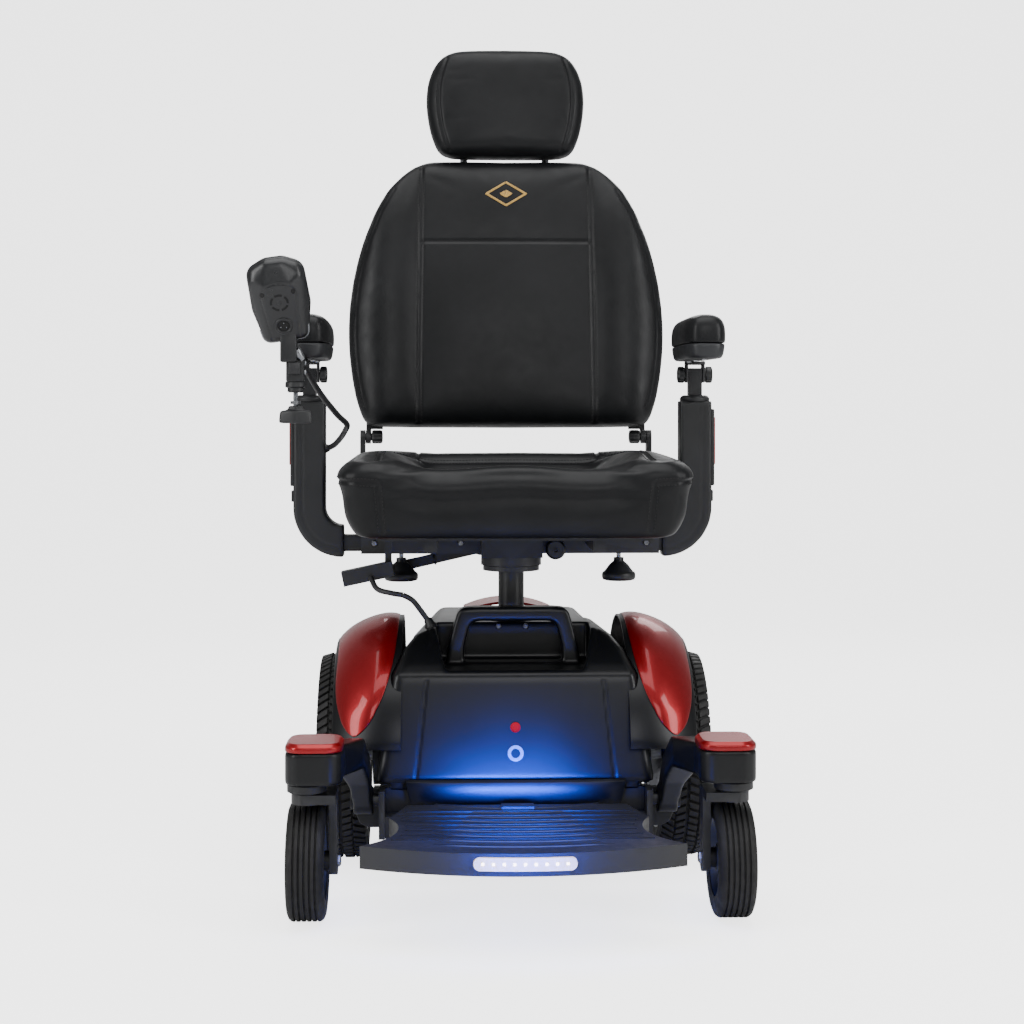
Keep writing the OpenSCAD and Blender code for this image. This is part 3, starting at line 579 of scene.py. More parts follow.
def join(name, objs):
    """One object from several, keeping each one's material as a slot of its own."""
    bm = bmesh.new()
    mats = []
    for o in objs:
        start = len(bm.faces)
        mesh = o.data.copy()
        mesh.transform(o.matrix_world)
        bm.from_mesh(mesh)
        mat = o.data.materials[0] if o.data.materials else None
        if mat not in mats:
            mats.append(mat)
        bm.faces.ensure_lookup_table()
        for f in bm.faces[start:]:
            f.material_index = mats.index(mat)
        bpy.data.meshes.remove(mesh)
        bpy.data.objects.remove(o)
    whole = from_bmesh(name, bm)
    for mat in mats:
        whole.data.materials.append(mat)
    return whole


def dress(obj, mat, body, stands_for=(), angle=35, slot=None, name=None):
    """Gives a finished piece its material, its shading and its body, and hides the CAD parts it
    stands for.
    """
    if mat:
        obj.data.materials.clear()
        obj.data.materials.append(mat)
    if angle == SMOOTH:
        obj.data.shade_smooth()
    elif angle:
        shade(obj, angle)
    if name:
        obj.name = name
    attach(obj, body)
    if stands_for:
        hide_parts(*stands_for)
    return obj


def turned(name, profile, place, direction, segments, mat, body, **rest):
    """A lathed piece of its own, standing at place along direction."""
    return dress(lathe(name, profile, facing(place, direction), segments), mat, body, **rest)


def fasteners(name, heads, body):
    """Bolt heads of (place, direction, radius, height), as one piece."""
    dress(join(name, [bolt_head(*head) for head in heads]), STEEL, body)


def softened(node, name, voxel, times):
    """A remeshed, smoothed copy of a solid CAD node, with moulded edges."""
    obj = new_object(name, frame["nodes"][node].data.copy())
    obj.data.materials.clear()
    remesh(recalc(obj), voxel)
    return relax(obj, 0.5, times)


# ---------------------------------------------------------------- sewing
class Skin:
    """The surface of a piece, for laying seams and threads on it."""

    def __init__(self, obj):
        mesh = obj.data
        self.tree = BVHTree.FromPolygons([v.co for v in mesh.vertices],
                                         [p.vertices for p in mesh.polygons])

    def drop(self, point, direction):
        """Where a ray from point (metres) meets the skin, as (place, normal)."""
        hit, normal, _, _ = self.tree.ray_cast(point, direction)
        return (hit, normal) if hit else self.near(point)

    def near(self, point):
        hit, normal, _, _ = self.tree.find_nearest(point)
        return hit, normal

    def trace(self, place, direction, count, first=0, last=1):
        """Drops place(t) for count values of t between first and last."""
        return [self.drop(place(t), direction) for t in linspace(first, last, count)]


def resample(path, step):
    """Points and normals along a path of (place, normal), every step metres."""
    out = [path[0]]
    carry = 0.0
    for (a, na), (b, nb) in zip(path, path[1:]):
        length = (b - a).length
        if length < 1e-9:
            continue
        t = step - carry
        while t <= length:
            f = t / length
            out.append((a.lerp(b, f), na.lerp(nb, f).normalized()))
            t += step
        carry = (carry + length) % step
    return out


def press_seams(obj, paths, width, depth):
    """Pulls the surface in along seam paths, as sewing does."""
    samples = [p for path in paths for p in resample(path, 0.002)]
    tree = KDTree(len(samples))
    for i, (p, _) in enumerate(samples):
        tree.insert(p, i)
    tree.balance()
    co = coords(obj)
    normals = np.array([v.normal for v in obj.data.vertices])
    reach = width * MM
    for i, c in enumerate(co):
        _, _, d = tree.find(c)
        if d < 3 * reach:
            co[i] = c - normals[i] * depth * MM * math.exp(-(d / reach) ** 2)
    set_coords(obj, co)


def offset_path(path, distance):
    """The path moved sideways across the surface by distance."""
    out = []
    for i, (p, n) in enumerate(path):
        a = path[max(i - 1, 0)][0]
        b = path[min(i + 1, len(path) - 1)][0]
        side = (b - a).cross(n).normalized()
        out.append((p + side * distance * MM, n))
    return out


def stitch_row(verts, faces, path, length=3.4, pitch=5.0, radius=0.55, lift_mm=0.25):
    """Adds a row of thread stitches to a vertex and face list."""
    samples = resample(path, pitch * MM)
    for (a, n), (b, _) in zip(samples, samples[1:]):
        direction = (b - a).normalized()
        side = direction.cross(n).normalized()
        centre = (a + b) / 2 + n * lift_mm * MM
        base = len(verts)
        for t, swell in ((-0.5, 0.45), (-0.3, 1.0), (0.3, 1.0), (0.5, 0.45)):
            sink = n * (-radius * MM * (1 - swell) * 1.6)
            c = centre + direction * (t * length * MM) + sink
            verts += [c + (side * math.cos(q) + n * math.sin(q)) * radius * swell * MM
                      for q in turns(6)]
        faces += tube_faces(4, 6, base)


def stitches(name, skin, paths, body, mat=THREAD, **sizes):
    """Thread rows laid on the skin along the given paths."""
    verts, faces = [], []
    for path in paths:
        stitch_row(verts, faces, [skin.near(p) for p, _ in path], **sizes)
    dress(mesh_object(name, verts, faces, clean=False), mat, body, angle=0)


def sew(obj, name, seams, body, width, depth, offsets=(-5.0, 5.0)):
    """Presses seams into a cushion and lays a row of thread at each offset from them."""
    press_seams(obj, seams, width, depth)
    paths = [offset_path(path, d) for path in seams for d in offsets]
    if paths:
        stitches(name, Skin(obj), paths, body)


def inflate(obj, held, cap, pressure, frames=20):
    """Swells a cushion by cloth simulation. held(place) gives 0..1 pinning, cap limits the move."""
    start = coords(obj)
    group = obj.vertex_groups.new(name="held")
    for i, c in enumerate(start):
        group.add([i], min(1.0, max(0.0, held(c / MM))), "REPLACE")
    mod = obj.modifiers.new("cloth", "CLOTH")
    for key, value in dict(
            quality=5, mass=0.3, tension_stiffness=18, compression_stiffness=18,
            shear_stiffness=8, bending_stiffness=0.6, use_pressure=True,
            uniform_pressure_force=pressure, vertex_group_mass="held", pin_stiffness=1.0).items():
        setattr(mod.settings, key, value)
    mod.settings.effector_weights.gravity = 0
    mod.collision_settings.use_collision = False
    mod.point_cache.frame_start = 1
    mod.point_cache.frame_end = frames
    for f in range(1, frames + 1):
        scene.frame_set(f)
    ev = obj.evaluated_get(bpy.context.evaluated_depsgraph_get())
    move = np.array([v.co for v in ev.data.vertices]) - start
    obj.modifiers.clear()
    obj.vertex_groups.clear()
    scene.frame_set(1)
    size = np.linalg.norm(move, axis=1)
    scale = np.minimum(1.0, cap * MM / np.maximum(size, 1e-9))
    set_coords(obj, start + move * scale[:, None])


def ridge(value, middle):
    """1 on a seam line, falling off within a few millimetres."""
    return math.exp(-((value - middle) / 5) ** 2)


def stuff(obj, held, cap, pressure):
    """The simulation and the smoothing that every cushion ends with."""
    inflate(obj, held, cap, pressure)
    relax(obj, 0.5, 3)
    subdivide(obj)
    return Skin(obj)


def upholster(obj, body, stands_for):
    return dress(obj, LEATHER, body, [stands_for], SMOOTH)


# ---------------------------------------------------------------- cushions
SEAT_TOP = box_mm("seat_cushion")[1][2]


def seat_top_height(x, y):
    """The height that the seat's top follows at each point."""
    front = smooth_step(-y, 40, 185)
    rear = smooth_step(y, 104, 160)
    middle = 559 + 24 * front * (1 - rear) + 33 * rear
    well = 557 + 21 * front * (1 - rear) + 35 * rear
    crest = 597
    pommel = smooth_step(np.abs(x), 12, 88)
    wing = smooth_step(np.abs(x), 115, 195)
    inner = middle * (1 - pommel) + well * pommel
    return inner * (1 - wing) + crest * wing


def seat_cushion():
    obj = softened("seat_cushion", "seat_cushion_cover", 5.5, 2)
    co = coords(obj) / MM
    x, y, z = co[:, 0], co[:, 1], co[:, 2]
    drop = SEAT_TOP - seat_top_height(x, y)
    co[:, 2] = z - drop * smooth_step(z, 510, 592)
    # the front apron hangs a little lower than the underside
    co[:, 2] -= 7 * smooth_step(-y, 196, 226) * smooth_step(-z, -500, -487)
    # the lower corners of the apron spread out again
    low = smooth_step(-co[:, 2], -562, -505) * smooth_step(np.abs(x), 110, 195)
    co[:, 0] += np.sign(x) * 20 * low * smooth_step(-y, 60, 200)
    set_coords(obj, co * MM)
    relax(obj, 0.6, 16)

    def held(c):
        return max(1.0 if c[2] < 493 else 0.0,
                   ridge(abs(c[0]), 187) if c[1] < -150 else 0,
                   ridge(c[1], 137) if c[2] > 540 else 0,
                   ridge(c[2], 565) if abs(c[0]) > 225 else 0)

    skin = stuff(obj, held, 6.0, 3.2)
    seams = []
    for s in (-1, 1):
        front = skin.trace(lambda t: V(s * (185 + 6 * t), -300, 496 + 66 * t), AHEAD, 24)
        top = skin.trace(lambda t: V(s * (191 + 3 * t), -205 + 330 * t, 700), DOWN, 40, 0.04)
        side = skin.trace(lambda t: V(s * 400, -205 + 385 * t, 566), Vector((-s, 0, 0)), 50)
        corner = [skin.near(V(s * (191 + 46 * t), -232 + 20 * t * t, 563 + 3 * t))
                  for t in linspace(0, 1, 12)]
        seams += [front + top, corner + side,
                  skin.trace(lambda t: V(s * 141, 140 + 60 * t, 700), DOWN, 14)]
    seams.append(skin.trace(lambda t: V(-196 + 392 * t, 138, 700), DOWN, 60))
    sew(obj, "seat_cushion_threads", seams, "seat", 2.6, 2.6)
    upholster(obj, "seat", "seat_cushion")


def super_round(a, power_x, power_y):
    """A point of a rounded square of half size 1, at angle a."""
    c, s = math.cos(a), math.sin(a)
    return math.copysign(abs(c) ** power_x, c), math.copysign(abs(s) ** power_y, s)


def pillow(name, widths, front, rear, round_r, power=0.42, sections=44, count=72):
    """A closed form in the backrest's frame with a smooth outline of (height, half width)."""
    low, high = widths[0][0], widths[-1][0]
    v_mid = (front + rear) / 2
    loops = []
    for i in range(sections + 1):
        # sections crowd together towards both rounded ends
        w = low + (high - low) * (0.5 - 0.5 * math.cos(math.pi * i / sections))
        d = min(w - low, high - w)
        shrink = round_r - math.sqrt(max(0.0, round_r ** 2 - max(0.0, round_r - d) ** 2))
        half, v_half = spline(widths, w), max((rear - front) / 2 - shrink, 1.0)
        loops.append([(half * c, v_mid + v_half * s, w) for c, s in
                      [super_round(a, power, power) for a in turns(count)]])
    return loft(name, loops, BACK)


def in_back(c):
    """A point given in the shared frame, in the backrest's frame."""
    return (BACK_INVERSE @ Vector(c * MM)) / MM


def on_back(skin, x, w):
    return skin.drop(BACK @ V(x, -200, w), BACK_AHEAD)


BACK_OUTLINE = [(12, 222), (26, 232), (60, 243), (115, 252), (175, 255), (245, 249), (310, 234),
                (365, 213), (402, 192), (428, 168), (442, 150), (452, 128)]


def back_cushion():
    obj = pillow("back_cushion_cover", BACK_OUTLINE, -70, 6, 26)
    relax(remesh(obj, 5.5), 0.5, 4)
    p = local(coords(obj), BACK)
    x, v, w = p[:, 0], p[:, 1], p[:, 2]
    front = smooth_step(-v, 5, 60)
    # the bolster wings stand forward of the middle, most of all low down
    lower = smooth_step(-w, -330, -230) * smooth_step(w, 15, 90)
    wing = smooth_step(np.abs(x), 138, 196)
    edge = smooth_step(np.abs(x), 205, 250)
    middle = 1 - smooth_step(np.abs(x), 60, 140)
    lumbar = np.exp(-((w - 170) / 90) ** 2)
    push = 15 * (1 - wing) + 3 * wing * (1 - lower)
    push += 10 * edge * front - 5 * lumbar * middle
    push += 8 * smooth_step(w, 300, 440)
    p[:, 1] = v + push * front
    set_coords(obj, world(p, BACK))
    relax(obj, 0.6, 8)

    def held(c):
        q = in_back(c)
        seam_x = 137 + 4 * (1 - q[2] / 440)
        return max(1.0 if q[1] > -4 else 0.0,
                   ridge(abs(q[0]), seam_x) if q[1] < -20 else 0,
                   ridge(q[2], 312) if abs(q[0]) < 138 and q[1] < -20 else 0)

    skin = stuff(obj, held, 8.0, 3.4)
    seams = [[on_back(skin, s * (141 - 4 * t), 18 + 422 * t) for t in linspace(0, 1, 60)]
             for s in (-1, 1)]
    sew(obj, "back_cushion_threads", seams, "back", 2.8, 3.2)
    skin = Skin(obj)
    cross = [on_back(skin, -136 + 272 * t, 312) for t in linspace(0, 1, 40)]
    sew(obj, "", [cross], "back", 2.4, 2.4, ())
    skin = Skin(obj)
    rim = [[on_back(skin, s * (spline(BACK_OUTLINE, w) - 13), w) for w in linspace(400, 40, 70)]
           for s in (-1, 1)]
    sew(obj, "back_edge_threads", rim, "back", 1.8, 1.2, (5.0,))
    return upholster(obj, "back", "back_cushion")


def emblem(cushion):
    """A generic embroidered diamond on the upper middle panel."""
    skin = Skin(cushion)

    def diamond(half, count):
        corners = [(0, half * 0.62), (half, 0), (0, -half * 0.62), (-half, 0), (0, half * 0.62)]
        pts = [(x0 + (x1 - x0) * t, z0 + (z1 - z0) * t)
               for (x0, z0), (x1, z1) in zip(corners, corners[1:])
               for t in linspace(0, 1, count, endpoint=False)]
        return [on_back(skin, x, 391 + z) for x, z in pts + corners[:1]]

    paths = [diamond(30 + 1.3 * k, 14) for k in range(4)]
    paths += [diamond(1.5 + 1.4 * k, 5) for k in range(7)]
    stitches("back_emblem", skin, paths, "back", GOLD, length=4.6, pitch=3.6, radius=0.75,
             lift_mm=0.5)


HEAD_OUTLINE = [(458, 92), (464, 106), (476, 115), (503, 124), (545, 130), (580, 128),
                (605, 120), (620, 110), (630, 98), (636, 82)]
HEAD_SEAM = [(96, 0, 620), (106, 0, 585), (109, 0, 545), (103, 0, 500), (92, 0, 464)]


def headrest():
    obj = pillow("headrest_cover", HEAD_OUTLINE, -66, 10, 22, 0.5)
    relax(remesh(obj, 4.5), 0.5, 4)
    p = local(coords(obj), BACK)
    x, v, w = p[:, 0], p[:, 1], p[:, 2]
    crown = 1 - (x / 127) ** 2 * 0.6 - ((w - 545) / 85) ** 2 * 0.25
    p[:, 1] = v + 9 * smooth_step(-v, 0, 55) * (1 - np.clip(crown, 0, 1))
    set_coords(obj, world(p, BACK))
    relax(obj, 0.6, 8)

    def held(c):
        q = in_back(c)
        return max(1.0 if q[1] > 6 else 0.0, ridge(abs(q[0]), 103) if q[1] < -30 else 0)

    skin = stuff(obj, held, 6.0, 3.4)
    line = smooth_path(HEAD_SEAM, 40)
    seams = [[on_back(skin, s * q.x, q.z) for q in line] for s in (-1, 1)]
    sew(obj, "headrest_threads", seams, "headrest", 2.4, 2.0, (5.0,))
    upholster(obj, "headrest", "headrest_pad")
    # the sleeves that the two posts slide in
    pair = join("headrest_sleeves", [block((s * 68 - 17, 13, 428), (s * 68 + 17, 36, 456),
                                           PLASTIC, 3, 3) for s in (-1, 1)])
    pair.data.transform(BACK)
    dress(pair, PLASTIC, "back")


# ---------------------------------------------------------------- armrest pads
def armrest(side):
    """Two-part arm pad: a domed moulded top over a tapered lower shell."""
    name = SIDES[side]
    low, high = box_mm("armrest_pad_" + name)
    x0 = joint_mm("arm_flip_" + name).x
    cx = x0 - side * 13
    y0, y1 = low[1], high[1]
    body = "armrest_" + name

    def outline(z, inset, count=28):
        """The pad's rounded plan at height z, pulled in by inset and narrower to the rear."""
        pts = []
        for a in turns(count):
            px, py = super_round(a, 0.55, 0.38)
            half = 32 - inset - 7 * (py + 1) / 2
            pts.append((cx + px * half, (y0 + y1) / 2 + py * ((y1 - y0) / 2 - inset), z))
        return pts

    seam = high[2] - 41
    shell = [outline(z, inset) for z, inset in (
        (736, 12), (736, 7), (739, 3.6), (745, 2.2), (seam - 3, 0.9), (seam, 1.4), (seam, 6))]
    lower = subdivide(loft("arm_pad_shell_" + name, shell))
    dress(lower, PAD_SHELL, body)
    rise = high[2] - seam
    top = [outline(seam + rise * f, inset) for f, inset in (
        (0.02, 6), (0.02, 1.2), (0.07, 0.2), (0.3, 0), (0.55, 0.5), (0.74, 3.0), (0.87, 7.0),
        (0.95, 12.5), (1.0, 20), (1.0, 24))]
    upholster(subdivide(loft("arm_pad_top_" + name, top), 2), body, "armrest_pad_" + name)
    # the bracket under the pad, between the pivot knobs, and the pad's screws
    parts = [block((x0 + a, 29, 704), (x0 + b, 51, 737), COAT, 1.0)
             for a, b in ((-14.2, -10.9), (10.9, 14.2))]
    parts.append(block((x0 - 14, 22, 731), (x0 + 14, 54, 736), COAT, 1.0))
    dress(join("arm_bracket_" + name, parts), COAT, body)
    fasteners("arm_pad_screws_" + name,
              [((cx, y, 736.5), DOWN, 5.2, 3.0) for y in (-150, -60, 12)], body)


# ---------------------------------------------------------------- shrouds
CORNER = 14
POST_HOLE_R, POST_HOLE_Z = 27, 283
FRONT_BALLS = ((181, -176, 150), (161, -150, 283), (155, -141, 292), (147, -114, 312),
               (132, -92, 328), (111, -85, 336), (111, 40, 336), (143, 40, 290), (143, 40, 150))
REAR_BALLS = ((111, 0, 331), (143, 0, 285), (143, 0, 180), (100, 210, 331), (138, 215, 290),
              (105, 312, 255), (150, 300, 180))
WELL = [(-90, -190), (90, -190), (112, -85), (112, -38), (-112, -38), (-112, -85)]
HANDLE_OUT = [(98, 288), (96, 312), (87, 350), (81, 370), (74, 377), (60, 378)]
HANDLE_IN = [(72, 299), (70, 325), (64, 348), (60, 355), (50, 358)]


def cover(name, balls, r):
    return hull_solid(name, [((s * x, y, z), r, 2) for s in (-1, 1) for x, y, z in balls])


def mirrored(points):
    return points + [(-x, z) for x, z in reversed(points)]


def front_shroud():
    body = cover("front_cover", FRONT_BALLS, CORNER)
    boolean(body, prism("tool", WELL, "Z", 296, 420))
    handle = prism("handle", mirrored(HANDLE_OUT), "Y", -95, -62)
    boolean(handle, prism("tool", mirrored(HANDLE_IN), "Y", -120, -40))
    boolean(body, handle, "UNION")
    boolean(body, tube_solid(facing((0, 0, POST_HOLE_Z), UP), POST_HOLE_R, 0, 100))
    relax(remesh(body, 2.8), 0.5, 9)
    # fine panel lines down the face and along the top
    skin = Skin(body)
    lines = []
    for s in (-1, 1):
        lines += [skin.trace(lambda t: V(s * (139 - 14 * t), -400, 150 + 134 * t), AHEAD, 40),
                  skin.trace(lambda t: V(s * (125 - 8 * t), -178 + 196 * t, 500), DOWN, 40, 0.25)]
    press_seams(body, lines, 1.5, 1.3)
    cross_planes(body, [((0, 0, 145), DOWN)], True)
    cross_planes(body, [((0, 20, 0), AHEAD)], True)
    cross_planes(body, [((0, -62, 0), AHEAD), ((0, 0, 202), UP)], False)
    remove_faces(body, lambda c: (c.y > -62 and c.z < 202) or
                 (c.z < POST_HOLE_Z + 1.5 and math.hypot(c.x, c.y) < POST_HOLE_R))
    dress(solidify(body, 3), GLOSS, "base", ["front_shroud"], 75)
    fairing()


def fairing():
    """The dropped apron under the face and the two mud flaps beside it."""
    sections = ((112, 132, -199), (113, 140, -201), (118, 147, -202), (140, 152, -202),
                (147, 153, -200), (150, 152, -196))
    cols = 33
    verts = []
    for z, half, y in sections:
        for u in [-1 + 2 * i / (cols - 1) for i in range(cols)]:
            verts.append(V(u * half, y - 2.5 * (1 - u * u) + 6 * abs(u) ** 8, z))
    apron = solidify(mesh_object("lower_fairing", verts, quads(len(sections), cols)), 3)
    dress(round_edges(apron, 0.8), GLOSS, "base")
    flap = [(104, 134), (223, 134), (223, 96), (218, 84), (206, 78), (120, 78), (109, 83),
            (104, 94)]
    for s, name in SIDES.items():
        plate = prism("mud_flap_" + name, [(s * x, z) for x, z in flap], "Y", -166, -161)
        dress(round_edges(plate, 1.4), PLASTIC, "base")
        a, b = sorted((s * 150, s * 175))
        dress(block((a, -166, 130), (b, -161, 162), PLASTIC, 0.8), PLASTIC, "base",
              name="mud_flap_stay_" + name)


def rear_shroud():
    body = cover("rear_cover", REAR_BALLS, CORNER)
    boolean(body, tube_solid(facing((0, 0, POST_HOLE_Z), UP), POST_HOLE_R, 0, 100))
    relax(remesh(body, 3.2), 0.5, 5)
    skin = Skin(body)
    lines = [skin.trace(lambda t: V(s * 500, 40 + 250 * t, 300 - 42 * t), Vector((-s, 0, 0)), 50)
             for s in (-1, 1)]
    lines.append(skin.trace(lambda t: V(-118 + 236 * t, 600, 262), -AHEAD, 50))
    press_seams(body, lines, 1.6, 1.3)
    cross_planes(body, [((0, 0, 195), DOWN)], True)
    cross_planes(body, [((0, 22.5, 0), -AHEAD)], True)
    remove_faces(body, lambda c: c.z < POST_HOLE_Z + 1.5
                 and math.hypot(c.x, c.y) < POST_HOLE_R + 0.5)
    solidify(body, 3)
    boolean(body, join("tool", [block((22 * i - 7, 280, 215), (22 * i + 7, 345, 222), PLASTIC, 0)
                                for i in range(-3, 4)]))
    dress(body, GLOSS, "base", ["rear_shroud"], 75)


# ---------------------------------------------------------------- fenders
AXLE_Z = 150
FENDER_IN, FENDER_OUT = 160, 258


def fender_r(x):
    u = max(0.0, (x - FENDER_IN) / (FENDER_OUT - FENDER_IN))
    return 170 + 36 * (1 - u ** 2.2)


def fender(side):
    name = SIDES[side]
    xs = linspace(FENDER_IN, FENDER_OUT - 1.2, 22)
    section = [(x, fender_r(x)) for x in xs]
    section += [(FENDER_OUT, 168), (FENDER_OUT, 163), (FENDER_OUT - 1.2, 160.5),
                (FENDER_OUT - 3, 161), (FENDER_OUT - 3.2, 167)]
    section += [(x, fender_r(x) - 3) for x in xs[-2::-2]]
    loops = []
    steps = 90
    for k in range(steps + 1):
        a = math.radians(12 + 156 * k / steps)
        tuck = 2.0 * max(0, 1 - min(k, steps - k) / 2) ** 2
        loops.append([(side * x, math.cos(a) * -(r - tuck), AXLE_Z + math.sin(a) * (r - tuck))
                      for x, r in section])
    pod = loft("fender_cover_" + name, loops)
    for balls in (FRONT_BALLS, REAR_BALLS):
        boolean(pod, cover("tool", balls, CORNER + 1.5))
    dress(pod, GLOSS, "base", ["fender_" + name], 38)
    leaf(side, name)


def bezier(a, b, c, t):
    return (1 - t) ** 2 * a + 2 * t * (1 - t) * b + t * t * c


def leaf_edges(z):
    """The red panel's inner and outer x at height z."""
    def solve(z0, zc, z1, x0, xc, x1):
        lo, hi = 0.0, 1.0
        for _ in range(30):
            mid = (lo + hi) / 2
            if bezier(z0, zc, z1, mid) < z:
                lo = mid
            else:
                hi = mid
        return bezier(x0, xc, x1, (lo + hi) / 2)

    inner = solve(210, 262, 372, 219, 166, 163)
    return inner, solve(210, 216, 300, 219, 262, 256) if z < 300 else 256


def leaf(side, name):
    """A crowned red panel laid on the fender, narrowing to a blunt tip at both ends."""
    cols, rows = 14, 120
    start = math.asin(60 / (fender_r(219) + 3))
    top, under = [], []
    for k in range(rows + 1):
        a = start + (math.pi - 2 * start) * k / rows
        near = min(1.0, min(k, rows - k) / 8)
        blunt = max(math.sqrt(1 - (1 - near) ** 2), 0.12)
        for i in range(cols + 1):
            s = i / cols
            x = 219.0
            # x and the height there depend on each other, so a few rounds settle them
            for _ in range(6):
                z = AXLE_Z + (fender_r(x) + 2) * math.sin(a)
                e0, e1 = leaf_edges(max(z, 210.2) + 13 * (1 - near))
                x = (e0 + e1) / 2 + (e1 - e0 - 4) * (s - 0.5) * blunt
            crown = 1 - abs(2 * s - 1) ** 4
            near_tip = smooth_step(float(min(k, rows - k)), 0, 10)
            for store, h in ((top, 1.4 + 4.2 * crown * near_tip), (under, 0.6)):
                r = fender_r(x) + h
                store.append(V(side * x, -math.cos(a) * r, AXLE_Z + math.sin(a) * r))
    shift = len(top)
    faces = []
    for k in range(rows):
        for i in range(cols):
            p = k * (cols + 1) + i
            q = p + cols + 1
            faces += [(p, p + 1, q + 1, q), (shift + p, shift + q, shift + q + 1, shift + p + 1)]
        for i in (0, cols):
            p = k * (cols + 1) + i
            q = p + cols + 1
            faces.append((p, q, shift + q, shift + p))
    for k in (0, rows):
        for i in range(cols):
            p = k * (cols + 1) + i
            faces.append((p, p + 1, shift + p + 1, shift + p))
    panel = mesh_object("fender_leaf_" + name, top + under, faces)
    dress(subdivide(panel), CANDY, "base", ["fender_panel_" + name], SMOOTH)


# ---------------------------------------------------------------- wheels
def tread(m):
    """Four staggered rows of skewed tyre blocks."""
    verts, faces = [], []
    count = 72
    da = math.tau / count * 0.36
    for h0, half_w, phase, skew in ((-26, 8.5, 0.0, 0.5), (-9, 7.2, 0.5, -0.35),
                                    (9, 7.2, 0.0, 0.35), (26, 8.5, 0.5, -0.5)):
        for k in range(count):
            a0 = math.tau * (k + phase) / count
            base = len(verts)
            for r, grow in ((144.5, 1.0), (148.9, 0.95), (149.9, 0.82)):
                for sh, sa in ((-1, -1), (1, -1), (1, 1), (-1, 1)):
                    h, rr = h0 + sh * half_w * grow, r
                    # the shoulder blocks fall away on their outer side
                    if abs(h0) > 20 and sh * h0 > 0:
                        h, rr = h0 + sh * half_w * (0.6 + 0.4 * grow), r - 4.2
                    a = a0 + sa * da * grow + skew * (sh * half_w) / 150
                    verts.append(m @ polar(rr, a, h))
            faces += quads(3, 4, True, base)
            faces.append((base + 8, base + 9, base + 10, base + 11))
            faces.append((base + 3, base + 2, base + 1, base))
    return mesh_object("tread", verts, faces, RUBBER)


def both_faces(profile, between=()):
    """A profile of one side of a wheel, what lies between, and its mirror image."""
    return profile + list(between) + [(r, -h) for r, h in reversed(profile)]


def drive_wheel(side):
    name = SIDES[side]
    low, high = box_mm("drive_tyre_" + name)
    m = facing(((low[0] + high[0]) / 2, 0, AXLE_Z), (side, 0, 0))
    body = "drive_wheel_" + name
    shoulder = both_faces([(105, -26), (112, -33), (120, -35), (130, -35), (139, -33.5),
                           (143.5, -29), (145.5, -22), (146, -12)]) + [(107, 12), (107, -12)]
    parts = [lathe("drive_tyre_cover_" + name, shoulder, m, 120, mat=RUBBER), tread(m)]
    # a fine rib round each sidewall
    parts += [lathe("rib", [(124, h - 0.9), (125.2, h), (124, h + 0.9), (122.8, h)], m, 120,
                    mat=RUBBER) for h in (-34.6, 34.6)]
    dress(join("drive_tyre_cover_" + name, parts), RUBBER, body, ["drive_tyre_" + name])
    nuts = [bolt_head((m @ polar(19, math.tau * (k + 0.5) / 5, 18)) / MM, (side, 0, 0), 3.6, 4.0)
            for k in range(5)]
    nuts.append(lathe("cap", [(0.01, 29), (6, 28.6), (11, 26.6), (12.5, 24), (12.5, 20),
                              (0.01, 20)], m, 40, mat=STEEL))
    dress(join("wheel_nuts_" + name, nuts), STEEL, body)


def caster(side):
    name = SIDES[side]
    low, high = box_mm("caster_wheel_" + name)
    m = facing([(low[i] + high[i]) / 2 for i in range(3)], (side, 0, 0))
    body = "caster_roll_" + name
    wall = [(50, -23), (56, -24.6), (63, -25), (69, -24.4), (73.5, -22.5), (76, -19.5), (76.9, -17)]
    groove = [(77, -1.6), (76.4, -1.1), (74.4, -0.8), (74.4, 0.8), (76.4, 1.1), (77, 1.6)]
    grooves = [(r, c + h) for c in (-14, -7, 0, 7, 14) for r, h in groove]
    profile = both_faces(wall, grooves) + [(50, 10), (50, -10)]
    dress(lathe("caster_tyre_" + name, profile, m, 110), RUBBER, body, ["caster_wheel_" + name], 40)
    face = [(8.2, -20), (16, -20), (17, -19), (17.5, -13), (30, -10.5), (44, -12), (47, -17),
            (50.5, -22), (50.8, -18)]
    parts = [lathe("hub", both_faces(face), m, 80, mat=HUB)]
    for s in (-1, 1):
        for a in turns(6):
            d = Vector((math.cos(a), math.sin(a), 0))
            n = Vector((-d.y, d.x, 0))
            loops = [[d * r + n * w + Vector((0, 0, s * h)) for w, h in (
                (-wide, 9), (wide, 9), (wide * 0.6, tall), (-wide * 0.6, tall))]
                for r, wide, tall in ((17, 5.5, 17.2), (30, 4.2, 14.2), (45, 5.0, 15.0))]
            parts.append(loft("rib", loops, m, HUB))
    dress(join("caster_hub_" + name, parts), HUB, body)


def front_casters(side):
    name = SIDES[side]
    for node, piece, voxel, times, mat in (("caster_arm_", "caster_housing_", 2.2, 8, GLOSS),
                                           ("caster_cap_", "caster_cap_cover_", 1.2, 6, CANDY)):
        dress(softened(node + name, piece + name, voxel, times), mat, "suspension_" + name,
              [node + name], SMOOTH)
    caster(side)
    body = "caster_swivel_" + name
    turned("caster_spacer_" + name, [(10.2, 0), (22, 0), (25.5, 2), (25.5, 11), (22, 13.6),
                                     (10.2, 13.6)], (side * 276, -375, 172.6), UP, 56, PLASTIC,
           body)
    fasteners("caster_axle_nuts_" + name, [((side * 301.2, -345, 77), (side, 0, 0), 8.5, 5),
                                           ((side * 237.8, -345, 77), (-side, 0, 0), 8.5, 4.5)],
              body)


# ---------------------------------------------------------------- footplate
FOOT_Y = -45


